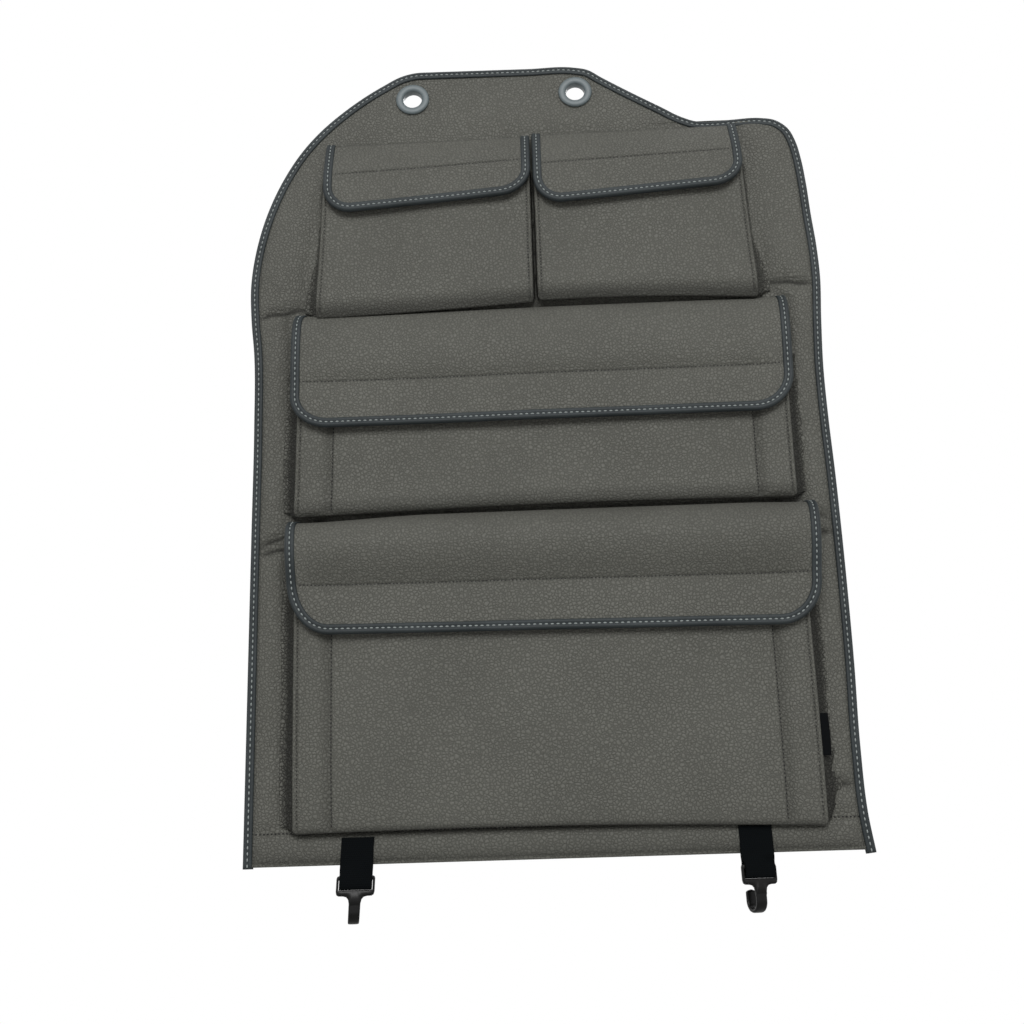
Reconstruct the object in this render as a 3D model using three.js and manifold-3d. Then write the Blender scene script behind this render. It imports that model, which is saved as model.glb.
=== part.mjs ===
// Car seat back organizer: a bound faux-leather panel with four flap pockets. It hangs from the headrest
// posts by two eyelets, and two hooked straps hold its lower edge down.
// Millimetres, +Z up as it hangs, +X to the right seen from the front, pockets towards -Y.
// The origin is midway between the two eyelets, on the back face that lies against the seat.

import * as THREE from 'three';
import { mergeVertices } from 'three/addons/utils/BufferGeometryUtils.js';
import Module from 'manifold-3d';

const wasm = await Module();
wasm.setup();

// Sizes shared by all pieces. Inside this file X is 0 on the panel's centre line and Z is 0 at its lower edge.
const clearance = 0.3; // air between pieces that are sewn or pressed together
const leather = 1; // one layer of faux leather
const arcStep = THREE.MathUtils.degToRad(9); // largest turn of one facet on a round stretch

// The pockets, in three rows. The seam is where a bottom is sewn to the panel, a little above where it
// hangs.
const pocketDepth = 12; // how far a front stands off the panel
const bottomRound = 5;
const gussetCrease = 7; // how far a gusset's crease reaches in
const gussetFlange = 10; // the gusset's sewn edge on the panel
const gussetInset = 1; // gusset behind the front's side edge
const upperGussetFold = 9; // how far the gusset runs in behind the front
const wideGussetFold = 29;
const pocketGap = 3; // between the two upper pockets
const hemShowing = 20; // the lower pocket's bottom above the panel's edge
const middleGap = 3; // the lower flap's top to the middle pocket's bottom
const upperOverlap = 5; // how far the upper pockets hang over the middle flap's top
const lowerMargin = 34.5; // the panel's side to the pocket's side
const middleMargin = 35.5;
const upperMargin = 52.5;
const lowerHeight = 194; // a front's bottom to its mouth
const middleHeight = 123;
const upperHeight = 126;
const lowerSeam = 6;
const middleSeam = 7;
const upperSeam = 9;

// The flaps. Start is from the pocket's mouth up to the flap's top; length and crease are from that top
// down.
const flapSheet = 2; // leather and its lining
const flapTape = 1;
const flapTapeWidth = 7.5;
const fastener = 1; // hook tape, and loop tape
const lowerFlapStart = 38;
const middleFlapStart = 48;
const upperFlapStart = 28;
const lowerFlapLength = 88;
const middleFlapLength = 99;
const upperFlapLength = 58;
const lowerCrease = 51;
const middleCrease = 61;
const upperCrease = 25;
const lowerOverhang = 7.5; // the flap past the pocket's side
const middleOverhang = 5.5;
const upperInset = 1; // an upper flap is narrower than its pocket
const flapGap = 2; // between the two upper flaps
const lowerSwell = 8; // the flap's belly above its crease
const middleSwell = 3;
const wideCorner = 30;
const upperCorner = 24;
const upperSlant = 8; // an upper flap hangs lower at its left end
const wideFastener = 20;
const upperFastener = 13;

// The eyelets
const eyeletLeft = -98;
const eyeletRight = 39;
const eyeletDrop = 26; // below the panel's top
const eyeletHole = 15.5;
const eyeletFlange = 28;
const eyeletWall = 1.5;
const eyeletMargin = 1.2; // the left flange to the binding on the slope
const flangeThickness = 2.2;
const flangeRound = 0.8;
const washerThickness = 0.9;

// The panel. Its top is a straight edge over the eyelets, a long fall on the left and a shoulder on the
// right.
const panelWidth = 452;
const headHeight = 73; // the upper flaps' top to the panel's top
const shoulderRise = 14; // the upper flaps' top to the shoulder
const shoulderInner = 136; // where the right slope meets the shoulder
const topBeyondEyelet = 8; // the right end of the top edge
const leftSlope = THREE.MathUtils.degToRad(33.5); // fall of the left slope before the big round
const leftRound = 152;
const shoulderRound = 36;
const shoulderHollow = 24;
const topRound = 30;
const lining = 1;
const board = 2; // stiffener boards between the leather and the lining
const boardGap = 3; // between two boards, where the panel folds flat
const hemHeight = 23; // how far the leather is turned up behind the lower edge
const panelTape = 1;
const panelTapeWidth = 7;

// The straps, their hooks and the label
const strapX = 142; // either side of the centre line
const strapWidth = 23.5;
const webbing = 1.5;
const barHeight = -9; // the hook's webbing bar, below the panel's lower edge
const bar = 3; // thickness of the hook's bar and frame
const barSlack = 3.5; // how far the webbing's loop hangs below the bar's middle
const hookFrame = 27.5;
const hookSlot = 7;
const hookFoot = 4;
const hookFrameRound = 2.5;
const neckDrop = 5;
const hookWidth = 8.4;
const hookThickness = 3;
const hookBend = 7; // radius at the middle of the hook's thickness
const hookLength = 23.5; // bar to the middle of the bend
const hookTip = 7.5; // straight end after the bend
const rightHookTurn = THREE.MathUtils.degToRad(22);
const twistStart = -1; // where the right strap starts to turn
const labelWidth = 5.5;
const labelHeight = 30;
const labelRise = 46; // the lower pocket's bottom to the label
const labelThickness = 0.8;

// Where a row stands and how high and wide its pieces are
function pocket(name, side, bottom, sizes) {
  const mouth = bottom + sizes.height;
  const flapTop = mouth + sizes.flapStart;
  const width = (side ? (panelWidth - pocketGap) / 2 : panelWidth - sizes.margin) - sizes.margin;
  return {
    ...sizes, name, side, bottom, mouth, flapTop, width,
    crease: flapTop - sizes.crease,
    flapBottom: flapTop - sizes.flapLength,
    flapWidth: width + 2 * sizes.overhang,
  };
}

const lower = pocket('lower_pocket', 0, hemShowing, {
  height: lowerHeight, margin: lowerMargin, seam: lowerSeam, gussetFold: wideGussetFold,
  flapStart: lowerFlapStart, flapLength: lowerFlapLength, crease: lowerCrease, overhang: lowerOverhang,
  swell: lowerSwell, corner: wideCorner, slant: 0, fastenerHeight: wideFastener,
});
const middle = pocket('middle_pocket', 0, lower.flapTop + middleGap, {
  height: middleHeight, margin: middleMargin, seam: middleSeam, gussetFold: wideGussetFold,
  flapStart: middleFlapStart, flapLength: middleFlapLength, crease: middleCrease, overhang: middleOverhang,
  swell: middleSwell, corner: wideCorner, slant: 0, fastenerHeight: wideFastener,
});
const upper = [['left', -1], ['right', 1]].map(([label, side]) => pocket(
  `upper_${label}_pocket`, side, middle.flapTop - upperOverlap, {
    height: upperHeight, margin: upperMargin, seam: upperSeam, gussetFold: upperGussetFold,
    flapStart: upperFlapStart, flapLength: upperFlapLength, crease: upperCrease, overhang: -upperInset,
    swell: 0, corner: upperCorner, slant: upperSlant, fastenerHeight: upperFastener,
  },
));
const pockets = [...upper, middle, lower];

// What the rows and the eyelets set on the panel
const panelHeight = upper[0].flapTop + headHeight;
const shoulderHeight = upper[0].flapTop + shoulderRise;
const eyeletHeight = panelHeight - eyeletDrop;
const upperFold = upper[0].bottom + upperSeam;
const lowerFold = middle.bottom + middleSeam;
const slopeToEyelet = eyeletFlange / 2 + panelTapeWidth + eyeletMargin;
const topLeft = eyeletLeft - (slopeToEyelet - eyeletDrop * Math.cos(leftSlope)) / Math.sin(leftSlope);
const topRight = eyeletRight + topBeyondEyelet;

// Levels through the panel's thickness, from the back face at 0 forwards
const skin = Math.max(lining, leather, panelTape, washerThickness);
const boardBack = -(skin + clearance);
const boardFront = boardBack - board;
const faceBack = boardFront - clearance;
const faceFront = faceBack - leather;
const tapeFront = faceFront - clearance - panelTape;

const leatherLook = new THREE.MeshStandardMaterial({ color: 0x6b6a63, roughness: 0.55, metalness: 0 });
const tapeLook = new THREE.MeshStandardMaterial({ color: 0x363d3e, roughness: 0.6, metalness: 0 });
const liningLook = new THREE.MeshStandardMaterial({ color: 0x2b2c2c, roughness: 0.9, metalness: 0 });
const boardLook = new THREE.MeshStandardMaterial({ color: 0x8c8c86, roughness: 0.8, metalness: 0 });
const eyeletLook = new THREE.MeshStandardMaterial({ color: 0x76807f, roughness: 0.45, metalness: 0 });
const fastenerLook = new THREE.MeshStandardMaterial({ color: 0x3a3a38, roughness: 0.95, metalness: 0 });
const webbingLook = new THREE.MeshStandardMaterial({ color: 0x0b0d0e, roughness: 0.9, metalness: 0 });
const plasticLook = new THREE.MeshStandardMaterial({ color: 0x101213, roughness: 0.35, metalness: 0 });

const vec = (x, y) => new THREE.Vector2(x, y);
const leftOf = (d) => vec(-d.y, d.x);

// A closed outline from corners {x, z, r} listed anticlockwise, moved inwards by inset. A corner's radius
// shrinks by the inset where the outline turns out, and grows where it turns in.
function outline(corners, inset = 0) {
  const count = corners.length;
  const spot = corners.map((c) => vec(c.x, c.z));
  const points = [];
  corners.forEach((corner, i) => {
    const before = spot[i].clone().sub(spot[(i + count - 1) % count]).normalize();
    const after = spot[(i + 1) % count].clone().sub(spot[i]).normalize();
    const turn = Math.atan2(before.cross(after), before.dot(after));
    const inward = leftOf(before).add(leftOf(after)).divideScalar(1 + leftOf(before).dot(leftOf(after)));
    const moved = spot[i].clone().addScaledVector(inward, inset);
    const radius = corner.r ? Math.max(corner.r - inset * Math.sign(turn), 0) : 0;
    if (!radius) {
      points.push(moved);
      return;
    }
    const start = moved.clone().addScaledVector(before, -radius * Math.tan(Math.abs(turn) / 2));
    const centre = start.clone().addScaledVector(leftOf(before), radius * Math.sign(turn));
    const steps = Math.ceil(Math.abs(turn) / arcStep);
    for (let k = 0; k <= steps; k++) {
      points.push(start.clone().rotateAround(centre, (turn * k) / steps));
    }
  });
  return new THREE.Shape(points);
}

// An open path with its corners rounded; each point is [first, second, radius].
function roundedPath(list) {
  const spot = list.map(([a, b]) => vec(a, b));
  const points = [spot[0]];
  for (let i = 1; i < list.length - 1; i++) {
    const before = spot[i].clone().sub(spot[i - 1]).normalize();
    const after = spot[i + 1].clone().sub(spot[i]).normalize();
    const turn = Math.atan2(before.cross(after), before.dot(after));
    const radius = list[i][2] ?? 0;
    const start = spot[i].clone().addScaledVector(before, -radius * Math.tan(Math.abs(turn) / 2));
    const centre = start.clone().addScaledVector(leftOf(before), radius * Math.sign(turn));
    const steps = radius ? Math.ceil(Math.abs(turn) / arcStep / 1.5) : 0;
    for (let k = 0; k <= steps; k++) {
      points.push(start.clone().rotateAround(centre, steps ? (turn * k) / steps : 0));
    }
  }
  points.push(spot[spot.length - 1]);
  return points;
}

// An open path moved sideways with mitred corners; a positive distance is to the left of its direction.
function besidePath(path, distance) {
  const last = path.length - 1;
  return path.map((point, i) => {
    const before = path[Math.max(i, 1)].clone().sub(path[Math.max(i, 1) - 1]).normalize();
    const after = path[Math.min(i, last - 1) + 1].clone().sub(path[Math.min(i, last - 1)]).normalize();
    const mitre = leftOf(before).add(leftOf(after)).divideScalar(1 + leftOf(before).dot(leftOf(after)));
    return point.clone().addScaledVector(mitre, distance);
  });
}

// The section of a sheet that follows a path through the middle of its thickness.
function sheetSection(path, thickness) {
  const half = thickness / 2;
  return new THREE.Shape([...besidePath(path, -half), ...besidePath(path, half).reverse()]);
}

function extrude(shape, depth) {
  return new THREE.ExtrudeGeometry(shape, { depth, bevelEnabled: false, curveSegments: 1 });
}

// A geometry as a closed solid, for joins and cuts. It is turned right side out if it came inside out.
function solid(geometry) {
  const bare = geometry.clone();
  bare.deleteAttribute('normal');
  bare.deleteAttribute('uv');
  const merged = mergeVertices(bare, 1e-4);
  const make = (faces) => new wasm.Manifold(new wasm.Mesh({
    numProp: 3, vertProperties: merged.attributes.position.array, triVerts: faces,
  }));
  const faces = Uint32Array.from(merged.index.array);
  const made = make(faces);
  return made.volume() > 0 ? made : make(faces.reverse());
}

// A shape in X and Z as a slab between two levels of Y.
function slab(shape, back, front) {
  return solid(extrude(shape, back - front).rotateX(Math.PI / 2).translate(0, back, 0));
}

// A section in Y and Z carried along X.
function alongX(shape, from, to) {
  const turned = new THREE.Matrix4().makeBasis(
    new THREE.Vector3(0, 1, 0), new THREE.Vector3(0, 0, 1), new THREE.Vector3(1, 0, 0),
  );
  return solid(extrude(shape, to - from).applyMatrix4(turned).translate(from, 0, 0));
}

// A section in X and Y carried along Z.
function alongZ(shape, from, to) {
  return solid(extrude(shape, to - from).translate(0, 0, from));
}

function block(x0, x1, y0, y1, z0, z1) {
  const box = new THREE.BoxGeometry(x1 - x0, y1 - y0, z1 - z0);
  return solid(box.translate((x0 + x1) / 2, (y0 + y1) / 2, (z0 + z1) / 2));
}

// Everything between two heights.
function band(from, to) {
  return block(-panelWidth, panelWidth, -panelWidth, panelWidth, from, to);
}

function rodAlongY(x, z, radius) {
  return solid(new THREE.CylinderGeometry(radius, radius, panelWidth, 40).translate(x, 0, z));
}

const organizer = new THREE.Group();
organizer.position.set(-(eyeletLeft + eyeletRight) / 2, 0, -eyeletHeight);

function add(name, body, material) {
  const { vertProperties, triVerts } = body.getMesh();
  const geometry = new THREE.BufferGeometry();
  geometry.setAttribute('position', new THREE.BufferAttribute(Float32Array.from(vertProperties), 3));
  geometry.setIndex(new THREE.BufferAttribute(Uint32Array.from(triVerts), 1));
  geometry.computeVertexNormals();
  const mesh = new THREE.Mesh(geometry, material);
  mesh.name = name;
  organizer.add(mesh);
  return mesh;
}

// The panel's outline, anticlockwise from the lower left corner.
function panelCorners(bottom) {
  const half = panelWidth / 2;
  return [
    { x: -half, z: bottom },
    { x: half, z: bottom },
    { x: half, z: shoulderHeight, r: shoulderRound },
    { x: shoulderInner, z: shoulderHeight, r: shoulderHollow },
    { x: topRight, z: panelHeight, r: topRound },
    { x: topLeft, z: panelHeight, r: topRound },
    { x: -half, z: panelHeight - (half + topLeft) * Math.tan(leftSlope), r: leftRound },
  ];
}

function withEyeletHoles(body, diameter) {
  const left = rodAlongY(eyeletLeft, eyeletHeight, diameter / 2);
  const right = rodAlongY(eyeletRight, eyeletHeight, diameter / 2);
  return body.subtract(left).subtract(right);
}

// The leather face, with its lower edge rolled round the boards and turned up behind them as a hem.
function panelFace() {
  const edge = panelTape + clearance;
  const rollMiddle = faceFront / 2;
  const rollRadius = (Math.abs(faceFront) - leather) / 2;
  const rollTop = Math.abs(faceFront) / 2;
  const sheet = slab(outline(panelCorners(rollTop - edge), edge), faceBack, faceFront);
  const roll = new THREE.EllipseCurve(rollMiddle, rollTop, rollRadius, rollRadius, Math.PI, 2 * Math.PI);
  const path = [
    vec(rollMiddle - rollRadius, rollTop + leather),
    ...roll.getPoints(12),
    vec(rollMiddle + rollRadius, hemHeight),
  ];
  const half = panelWidth / 2 - panelTapeWidth - clearance;
  const hem = alongX(sheetSection(path, leather), -half, half);
  return withEyeletHoles(sheet.add(hem), eyeletHole + 2 * (eyeletWall + clearance));
}

function stiffener(from, to) {
  const edge = panelTape + 2 * clearance;
  const sheet = slab(outline(panelCorners(0), edge), boardBack, boardFront);
  return withEyeletHoles(sheet.intersect(band(from, to)), eyeletHole + 2 * (eyeletWall + clearance));
}

function panelLining() {
  const sheet = slab(outline(panelCorners(0), panelTapeWidth + clearance), 0, -lining);
  const aboveHem = sheet.intersect(band(hemHeight + clearance, panelHeight));
  return withEyeletHoles(aboveHem, eyeletFlange + 2 * clearance);
}

// The binding is a channel round the sides and the top; it is open at the hem.
function panelBinding() {
  const corners = panelCorners(-3 * panelTapeWidth);
  const outside = slab(outline(corners), 0, tapeFront);
  const inside = slab(outline(corners, panelTape), -panelTape, faceFront - clearance);
  const middle = slab(outline(corners, panelTapeWidth), 1, tapeFront - 1);
  return outside.subtract(inside).subtract(middle).intersect(band(0, panelHeight + 1));
}

const seat = Math.abs(faceFront) / 2; // the boards start where the hem's roll ends
add('panel_face', panelFace(), leatherLook);
add('stiffener_bottom', stiffener(seat, lowerFold - boardGap / 2), boardLook);
add('stiffener_middle', stiffener(lowerFold + boardGap / 2, upperFold - boardGap / 2), boardLook);
add('stiffener_top', stiffener(upperFold + boardGap / 2, panelHeight), boardLook);
add('panel_lining', panelLining(), liningLook);
add('panel_binding', panelBinding(), tapeLook);

// An eyelet: a flange in front and a barrel through all layers, on the lathe's own Y axis.
function eyelet() {
  const hole = eyeletHole / 2;
  const barrel = hole + eyeletWall;
  const rim = eyeletFlange / 2;
  const seatLevel = faceFront - clearance;
  const front = seatLevel - flangeThickness;
  const profile = [
    vec(hole, 0), vec(barrel, 0), vec(barrel, seatLevel), vec(rim, seatLevel),
    vec(rim, front + flangeRound), vec(rim - flangeRound, front),
    vec(hole + flangeRound, front), vec(hole, front + flangeRound), vec(hole, 0),
  ];
  return solid(new THREE.LatheGeometry(profile, 40));
}

function washer() {
  const hole = eyeletHole / 2 + eyeletWall + clearance;
  const rim = eyeletFlange / 2;
  const profile = [
    vec(hole, 0), vec(rim, 0), vec(rim, -washerThickness), vec(hole, -washerThickness), vec(hole, 0),
  ];
  return solid(new THREE.LatheGeometry(profile, 40));
}

for (const [side, x] of [['left', eyeletLeft], ['right', eyeletRight]]) {
  add(`eyelet_${side}`, eyelet(), eyeletLook).position.set(x, 0, eyeletHeight);
  add(`eyelet_washer_${side}`, washer(), eyeletLook).position.set(x, 0, eyeletHeight);
}

// Where a pocket and its flap lie across the panel. The upper pair stands either side of the centre line.
const spanOf = (middle, width) => [middle - width / 2, middle + width / 2];
const pocketSpan = (p) => spanOf((p.side * (p.width + pocketGap)) / 2, p.width);
const flapSpan = (p) => spanOf((p.side * (p.flapWidth + flapGap)) / 2, p.flapWidth);

// The levels of the pockets' fronts and of what closes them, outwards from the panel
const frontOuter = faceFront - pocketDepth;
const loopFront = frontOuter - clearance - fastener;
const hookFront = loopFront - clearance - fastener;
const flapMiddle = hookFront - clearance - flapSheet / 2;

// The front hangs from the mouth, turns under and is sewn to the panel.
function frontPath(p) {
  const middle = frontOuter + leather / 2;
  return roundedPath([
    [middle, p.mouth],
    [middle, p.bottom + leather / 2, bottomRound],
    [faceFront - clearance, p.bottom + p.seam],
  ]);
}

function pocketFront(p) {
  return alongX(sheetSection(frontPath(p), leather), ...pocketSpan(p));
}

// A bellows gusset: sewn to the panel, creased inwards, and folded flat behind the front.
function gusset(p, side) {
  const [left, right] = pocketSpan(p);
  const edge = (side < 0 ? left : right) - side * (gussetInset + leather / 2);
  const back = faceFront - clearance - leather / 2;
  const front = frontOuter + leather + clearance + leather / 2;
  const path = [
    vec(edge - side * gussetFlange, back),
    vec(edge, back),
    vec(edge - side * gussetCrease, (back + front) / 2),
    vec(edge, front),
    vec(edge - side * (p.gussetFold - gussetInset), front),
  ];
  const inside = besidePath(frontPath(p), leather / 2 + clearance);
  const room = new THREE.Shape([...inside, vec(faceFront - clearance, inside[inside.length - 1].y),
    vec(faceFront - clearance, p.mouth)]);
  return alongZ(sheetSection(path, leather), p.bottom, p.mouth).intersect(alongX(room, left, right));
}

// A flap leaves the panel edge-on, swells over the pocket's mouth, and hangs straight below its crease.
function flapPath(p) {
  const top = p.flapTop - flapSheet / 2;
  const fall = p.flapTop - p.crease;
  const shoulder = THREE.MathUtils.lerp(faceFront, flapMiddle, 0.7);
  const swell = new THREE.SplineCurve([
    vec(faceFront, top),
    vec(shoulder - p.swell, p.flapTop - fall * (p.swell ? 0.1 : 0.6)),
    vec(flapMiddle - p.swell, p.flapTop - fall * (p.swell ? 0.36 : 0.8)),
    vec(flapMiddle, p.crease),
  ]);
  return [vec(0, top), ...swell.getPoints(12), vec(flapMiddle, p.flapBottom - p.slant)];
}

function flapCorners(p) {
  const [left, right] = flapSpan(p);
  const above = p.flapTop + 3 * flapTapeWidth;
  return [
    { x: left, z: p.flapBottom - p.slant / 2, r: p.corner },
    { x: right, z: p.flapBottom + p.slant / 2, r: p.corner },
    { x: right, z: above },
    { x: left, z: above },
  ];
}

const flapPrism = (p, inset, back) => slab(outline(flapCorners(p), inset), back, -panelWidth / 2);
const flapSlab = (p, thickness) => alongX(sheetSection(flapPath(p), thickness), ...flapSpan(p));

function flap(p) {
  return flapSlab(p, flapSheet).intersect(flapPrism(p, flapTape + clearance, faceFront - clearance));
}

// The binding folds round the flap's free edge and starts just clear of the panel.
function flapBinding(p) {
  const taped = flapSheet + 2 * (clearance + flapTape);
  const outside = flapSlab(p, taped).intersect(flapPrism(p, 0, faceFront - clearance));
  const inside = flapSlab(p, flapSheet + 2 * clearance).intersect(flapPrism(p, flapTape, 0));
  return outside.subtract(inside).subtract(flapPrism(p, flapTapeWidth, 0));
}

// Hook tape behind the flap and loop tape on the pocket's front, between the binding and the crease.
function fastenerTape(p, level) {
  const [left, right] = flapSpan(p);
  const margin = p.corner + clearance;
  const top = Math.min(p.crease, p.mouth) - 2 * clearance;
  return block(left + margin, right - margin, level, level + fastener, top - p.fastenerHeight, top);
}

for (const p of pockets) {
  add(`${p.name}_front`, pocketFront(p), leatherLook);
  add(`${p.name}_gusset_left`, gusset(p, -1), leatherLook);
  add(`${p.name}_gusset_right`, gusset(p, 1), leatherLook);
  add(`${p.name}_flap`, flap(p), leatherLook);
  add(`${p.name}_flap_binding`, flapBinding(p), tapeLook);
  add(`${p.name}_loop_tape`, fastenerTape(p, loopFront), fastenerLook);
  add(`${p.name}_hook_tape`, fastenerTape(p, hookFront), fastenerLook);
}

// A strap is a loop of webbing: both ends are sewn under the lower pocket, and the hook's bar is in the
// loop.
const strapBack = faceFront - clearance - webbing / 2;
const strapFront = strapBack - clearance - webbing;
const barMiddle = (strapBack + strapFront) / 2;
const turnRadius = bar / 2 + clearance + webbing / 2;

const strapTop = lower.bottom - clearance;

// How far the right strap has turned at a height; it has its full turn before it meets the bar.
function turnAt(z) {
  const end = barHeight + bar / 2 + clearance + webbing;
  return rightHookTurn * THREE.MathUtils.smoothstep(-z, -twistStart, -end);
}

function strapPath() {
  const wide = barHeight + bar / 2 + clearance;
  const between = (from, to) => [0.25, 0.5, 0.75].map((s) => from.clone().lerp(to, s));
  const backTop = vec(strapBack, twistStart);
  const backWide = vec(barMiddle + turnRadius, wide);
  const frontWide = vec(barMiddle - turnRadius, wide);
  const frontTop = vec(strapFront, twistStart);
  const loop = barHeight - barSlack;
  const under = new THREE.EllipseCurve(barMiddle, loop, turnRadius, turnRadius, 0, -Math.PI, true);
  return [
    vec(strapBack, strapTop), backTop, ...between(backTop, backWide), backWide, ...under.getPoints(10),
    frontWide, ...between(frontWide, frontTop), frontTop, vec(strapFront, strapTop),
  ];
}

// The webbing as rings of four corners along its path, each turned about the bar's upright axis.
function strap(turned) {
  const path = strapPath();
  const sides = [besidePath(path, -webbing / 2), besidePath(path, webbing / 2)];
  const corners = [[0, -1], [0, 1], [1, 1], [1, -1]];
  const positions = path.flatMap((_, i) => corners.flatMap(([face, edge]) => {
    const { x: y, y: z } = sides[face][i];
    const spun = vec((edge * strapWidth) / 2, y).rotateAround(vec(0, barMiddle), turned ? turnAt(z) : 0);
    return [spun.x, spun.y, z];
  }));
  const last = 4 * (path.length - 1);
  const faces = [0, 2, 1, 0, 3, 2, last, last + 1, last + 2, last, last + 2, last + 3];
  for (let ring = 0; ring < last; ring += 4) {
    for (let k = 0; k < 4; k++) {
      const [a, b] = [ring + k, ring + ((k + 1) % 4)];
      faces.push(a, b, b + 4, a, b + 4, a + 4);
    }
  }
  const geometry = new THREE.BufferGeometry();
  geometry.setAttribute('position', new THREE.BufferAttribute(Float32Array.from(positions), 3));
  geometry.setIndex(faces);
  return solid(geometry);
}

// The hook, with the middle of its bar at the origin: a frame round the webbing, a neck and the bend.
function hook() {
  const half = hookFrame / 2;
  const top = bar / 2;
  const foot = top - bar - hookSlot - hookFoot;
  const neck = hookWidth / 2;
  const front = outline([
    { x: -neck, z: foot - neckDrop },
    { x: neck, z: foot - neckDrop },
    { x: neck, z: foot, r: neckDrop * 0.7 },
    { x: half, z: foot, r: hookFrameRound },
    { x: half, z: top, r: hookFrameRound * 0.6 },
    { x: -half, z: top, r: hookFrameRound * 0.6 },
    { x: -half, z: foot, r: hookFrameRound },
    { x: -neck, z: foot, r: neckDrop * 0.7 },
  ]);
  const slot = block(
    -strapWidth / 2 - clearance, strapWidth / 2 + clearance, -bar, bar, top - bar - hookSlot, top - bar,
  );
  const bend = new THREE.EllipseCurve(hookBend, -hookLength, hookBend, hookBend, Math.PI, 2 * Math.PI);
  const path = [vec(0, foot + 1), ...bend.getPoints(14), vec(2 * hookBend, hookTip - hookLength)];
  const curl = alongX(sheetSection(path, hookThickness), -neck, neck);
  return slab(front, bar / 2, -bar / 2).subtract(slot).add(curl);
}

for (const [side, x, turn] of [['left', -strapX, 0], ['right', strapX, rightHookTurn]]) {
  add(`strap_${side}`, strap(turn !== 0), webbingLook).position.x = x;
  const made = add(`strap_hook_${side}`, hook(), plasticLook);
  made.position.set(x, barMiddle, barHeight);
  made.rotation.z = turn;
}

// A bare woven tab at the lower pocket's right edge.
function labelTab() {
  const edge = pocketSpan(lower)[1] + clearance;
  const back = frontOuter + (leather + labelThickness) / 2;
  const bottom = lower.bottom + labelRise;
  return block(edge, edge + labelWidth, back - labelThickness, back, bottom, bottom + labelHeight);
}
add('label_tab', labelTab(), webbingLook);

export default organizer;
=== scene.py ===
# %% [markdown]
# # A car seat back organizer, dressed
#
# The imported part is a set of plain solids: a bound faux-leather panel, four pockets with flaps, two eyelets
# and two hooked straps. This script puts a surface that looks sewn over each of them. It starts with the
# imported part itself, because every piece is placed from the solid that it stands for.

import bpy
import bmesh
import numpy as np
from mathutils import Matrix, Vector


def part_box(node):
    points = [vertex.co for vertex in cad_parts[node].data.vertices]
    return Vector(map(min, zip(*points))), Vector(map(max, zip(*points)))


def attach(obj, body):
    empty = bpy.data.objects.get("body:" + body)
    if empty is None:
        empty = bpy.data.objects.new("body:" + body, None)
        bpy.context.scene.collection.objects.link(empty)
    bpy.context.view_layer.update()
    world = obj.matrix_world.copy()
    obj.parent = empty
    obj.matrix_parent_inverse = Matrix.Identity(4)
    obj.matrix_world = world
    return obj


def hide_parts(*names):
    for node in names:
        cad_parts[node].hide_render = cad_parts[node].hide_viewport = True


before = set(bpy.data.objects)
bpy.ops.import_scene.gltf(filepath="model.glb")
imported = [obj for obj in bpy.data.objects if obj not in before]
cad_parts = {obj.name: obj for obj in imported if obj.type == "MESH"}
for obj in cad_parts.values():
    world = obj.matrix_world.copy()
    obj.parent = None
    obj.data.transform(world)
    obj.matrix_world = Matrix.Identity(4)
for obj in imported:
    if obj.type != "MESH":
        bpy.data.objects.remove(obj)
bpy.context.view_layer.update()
print("the packed part has", len(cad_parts), "pieces")

# %% [markdown]
# ## A frame of the panel's own
#
# A sewn piece is easiest to think of in millimetres across and up its panel. So X is 0 on the panel's
# centre line, Z is 0 at its lower edge, and Y is 0 on its back face and negative towards the pockets. The
# binding runs round the panel's whole edge, so its box gives both the centre line and the lower edge.

# %% From the panel's millimetres to metres
MILLIMETRE = 0.001
low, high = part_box("panel_binding")
PANEL_ORIGIN = np.array([(low.x + high.x) / 2, 0.0, low.z])


def metres(points):
    """Points in the panel's millimetres, as metres in the part's frame."""
    return np.asarray(points, float) * MILLIMETRE + PANEL_ORIGIN


print("the panel's lower edge is at", PANEL_ORIGIN.round(4))

# %% [markdown]
# ## From arrays to meshes
#
# Every new surface here is a grid of points worked out with numpy. A quad joins each point to the next in its
# row and in its column. Where rows run up and columns run right, the quads face the viewer in front of the
# panel, so a sheet gets its thickness behind that face with Solidify.

# %% Grids, sheets and closed forms


def grid_faces(rows, columns, round_columns=False, round_rows=False):
    """The quads of a grid: point (i, j) with its neighbours at j + 1 and i + 1; columns and rows may
    close."""
    i, j = np.meshgrid(
        np.arange(rows if round_rows else rows - 1), np.arange(columns if round_columns else columns - 1),
        indexing="ij",
    )
    here, after, beside = i * columns, (i + 1) % rows * columns, (j + 1) % columns
    return np.stack([here + j, here + beside, after + beside, after + j], -1).reshape(-1, 4)


def tube_faces(rings, around):
    """The quads of a tube, and a cap at each end."""
    quads = grid_faces(rings, around, round_columns=True).tolist()
    return quads + [list(range(around))[::-1], list(range((rings - 1) * around, rings * around))]


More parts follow.
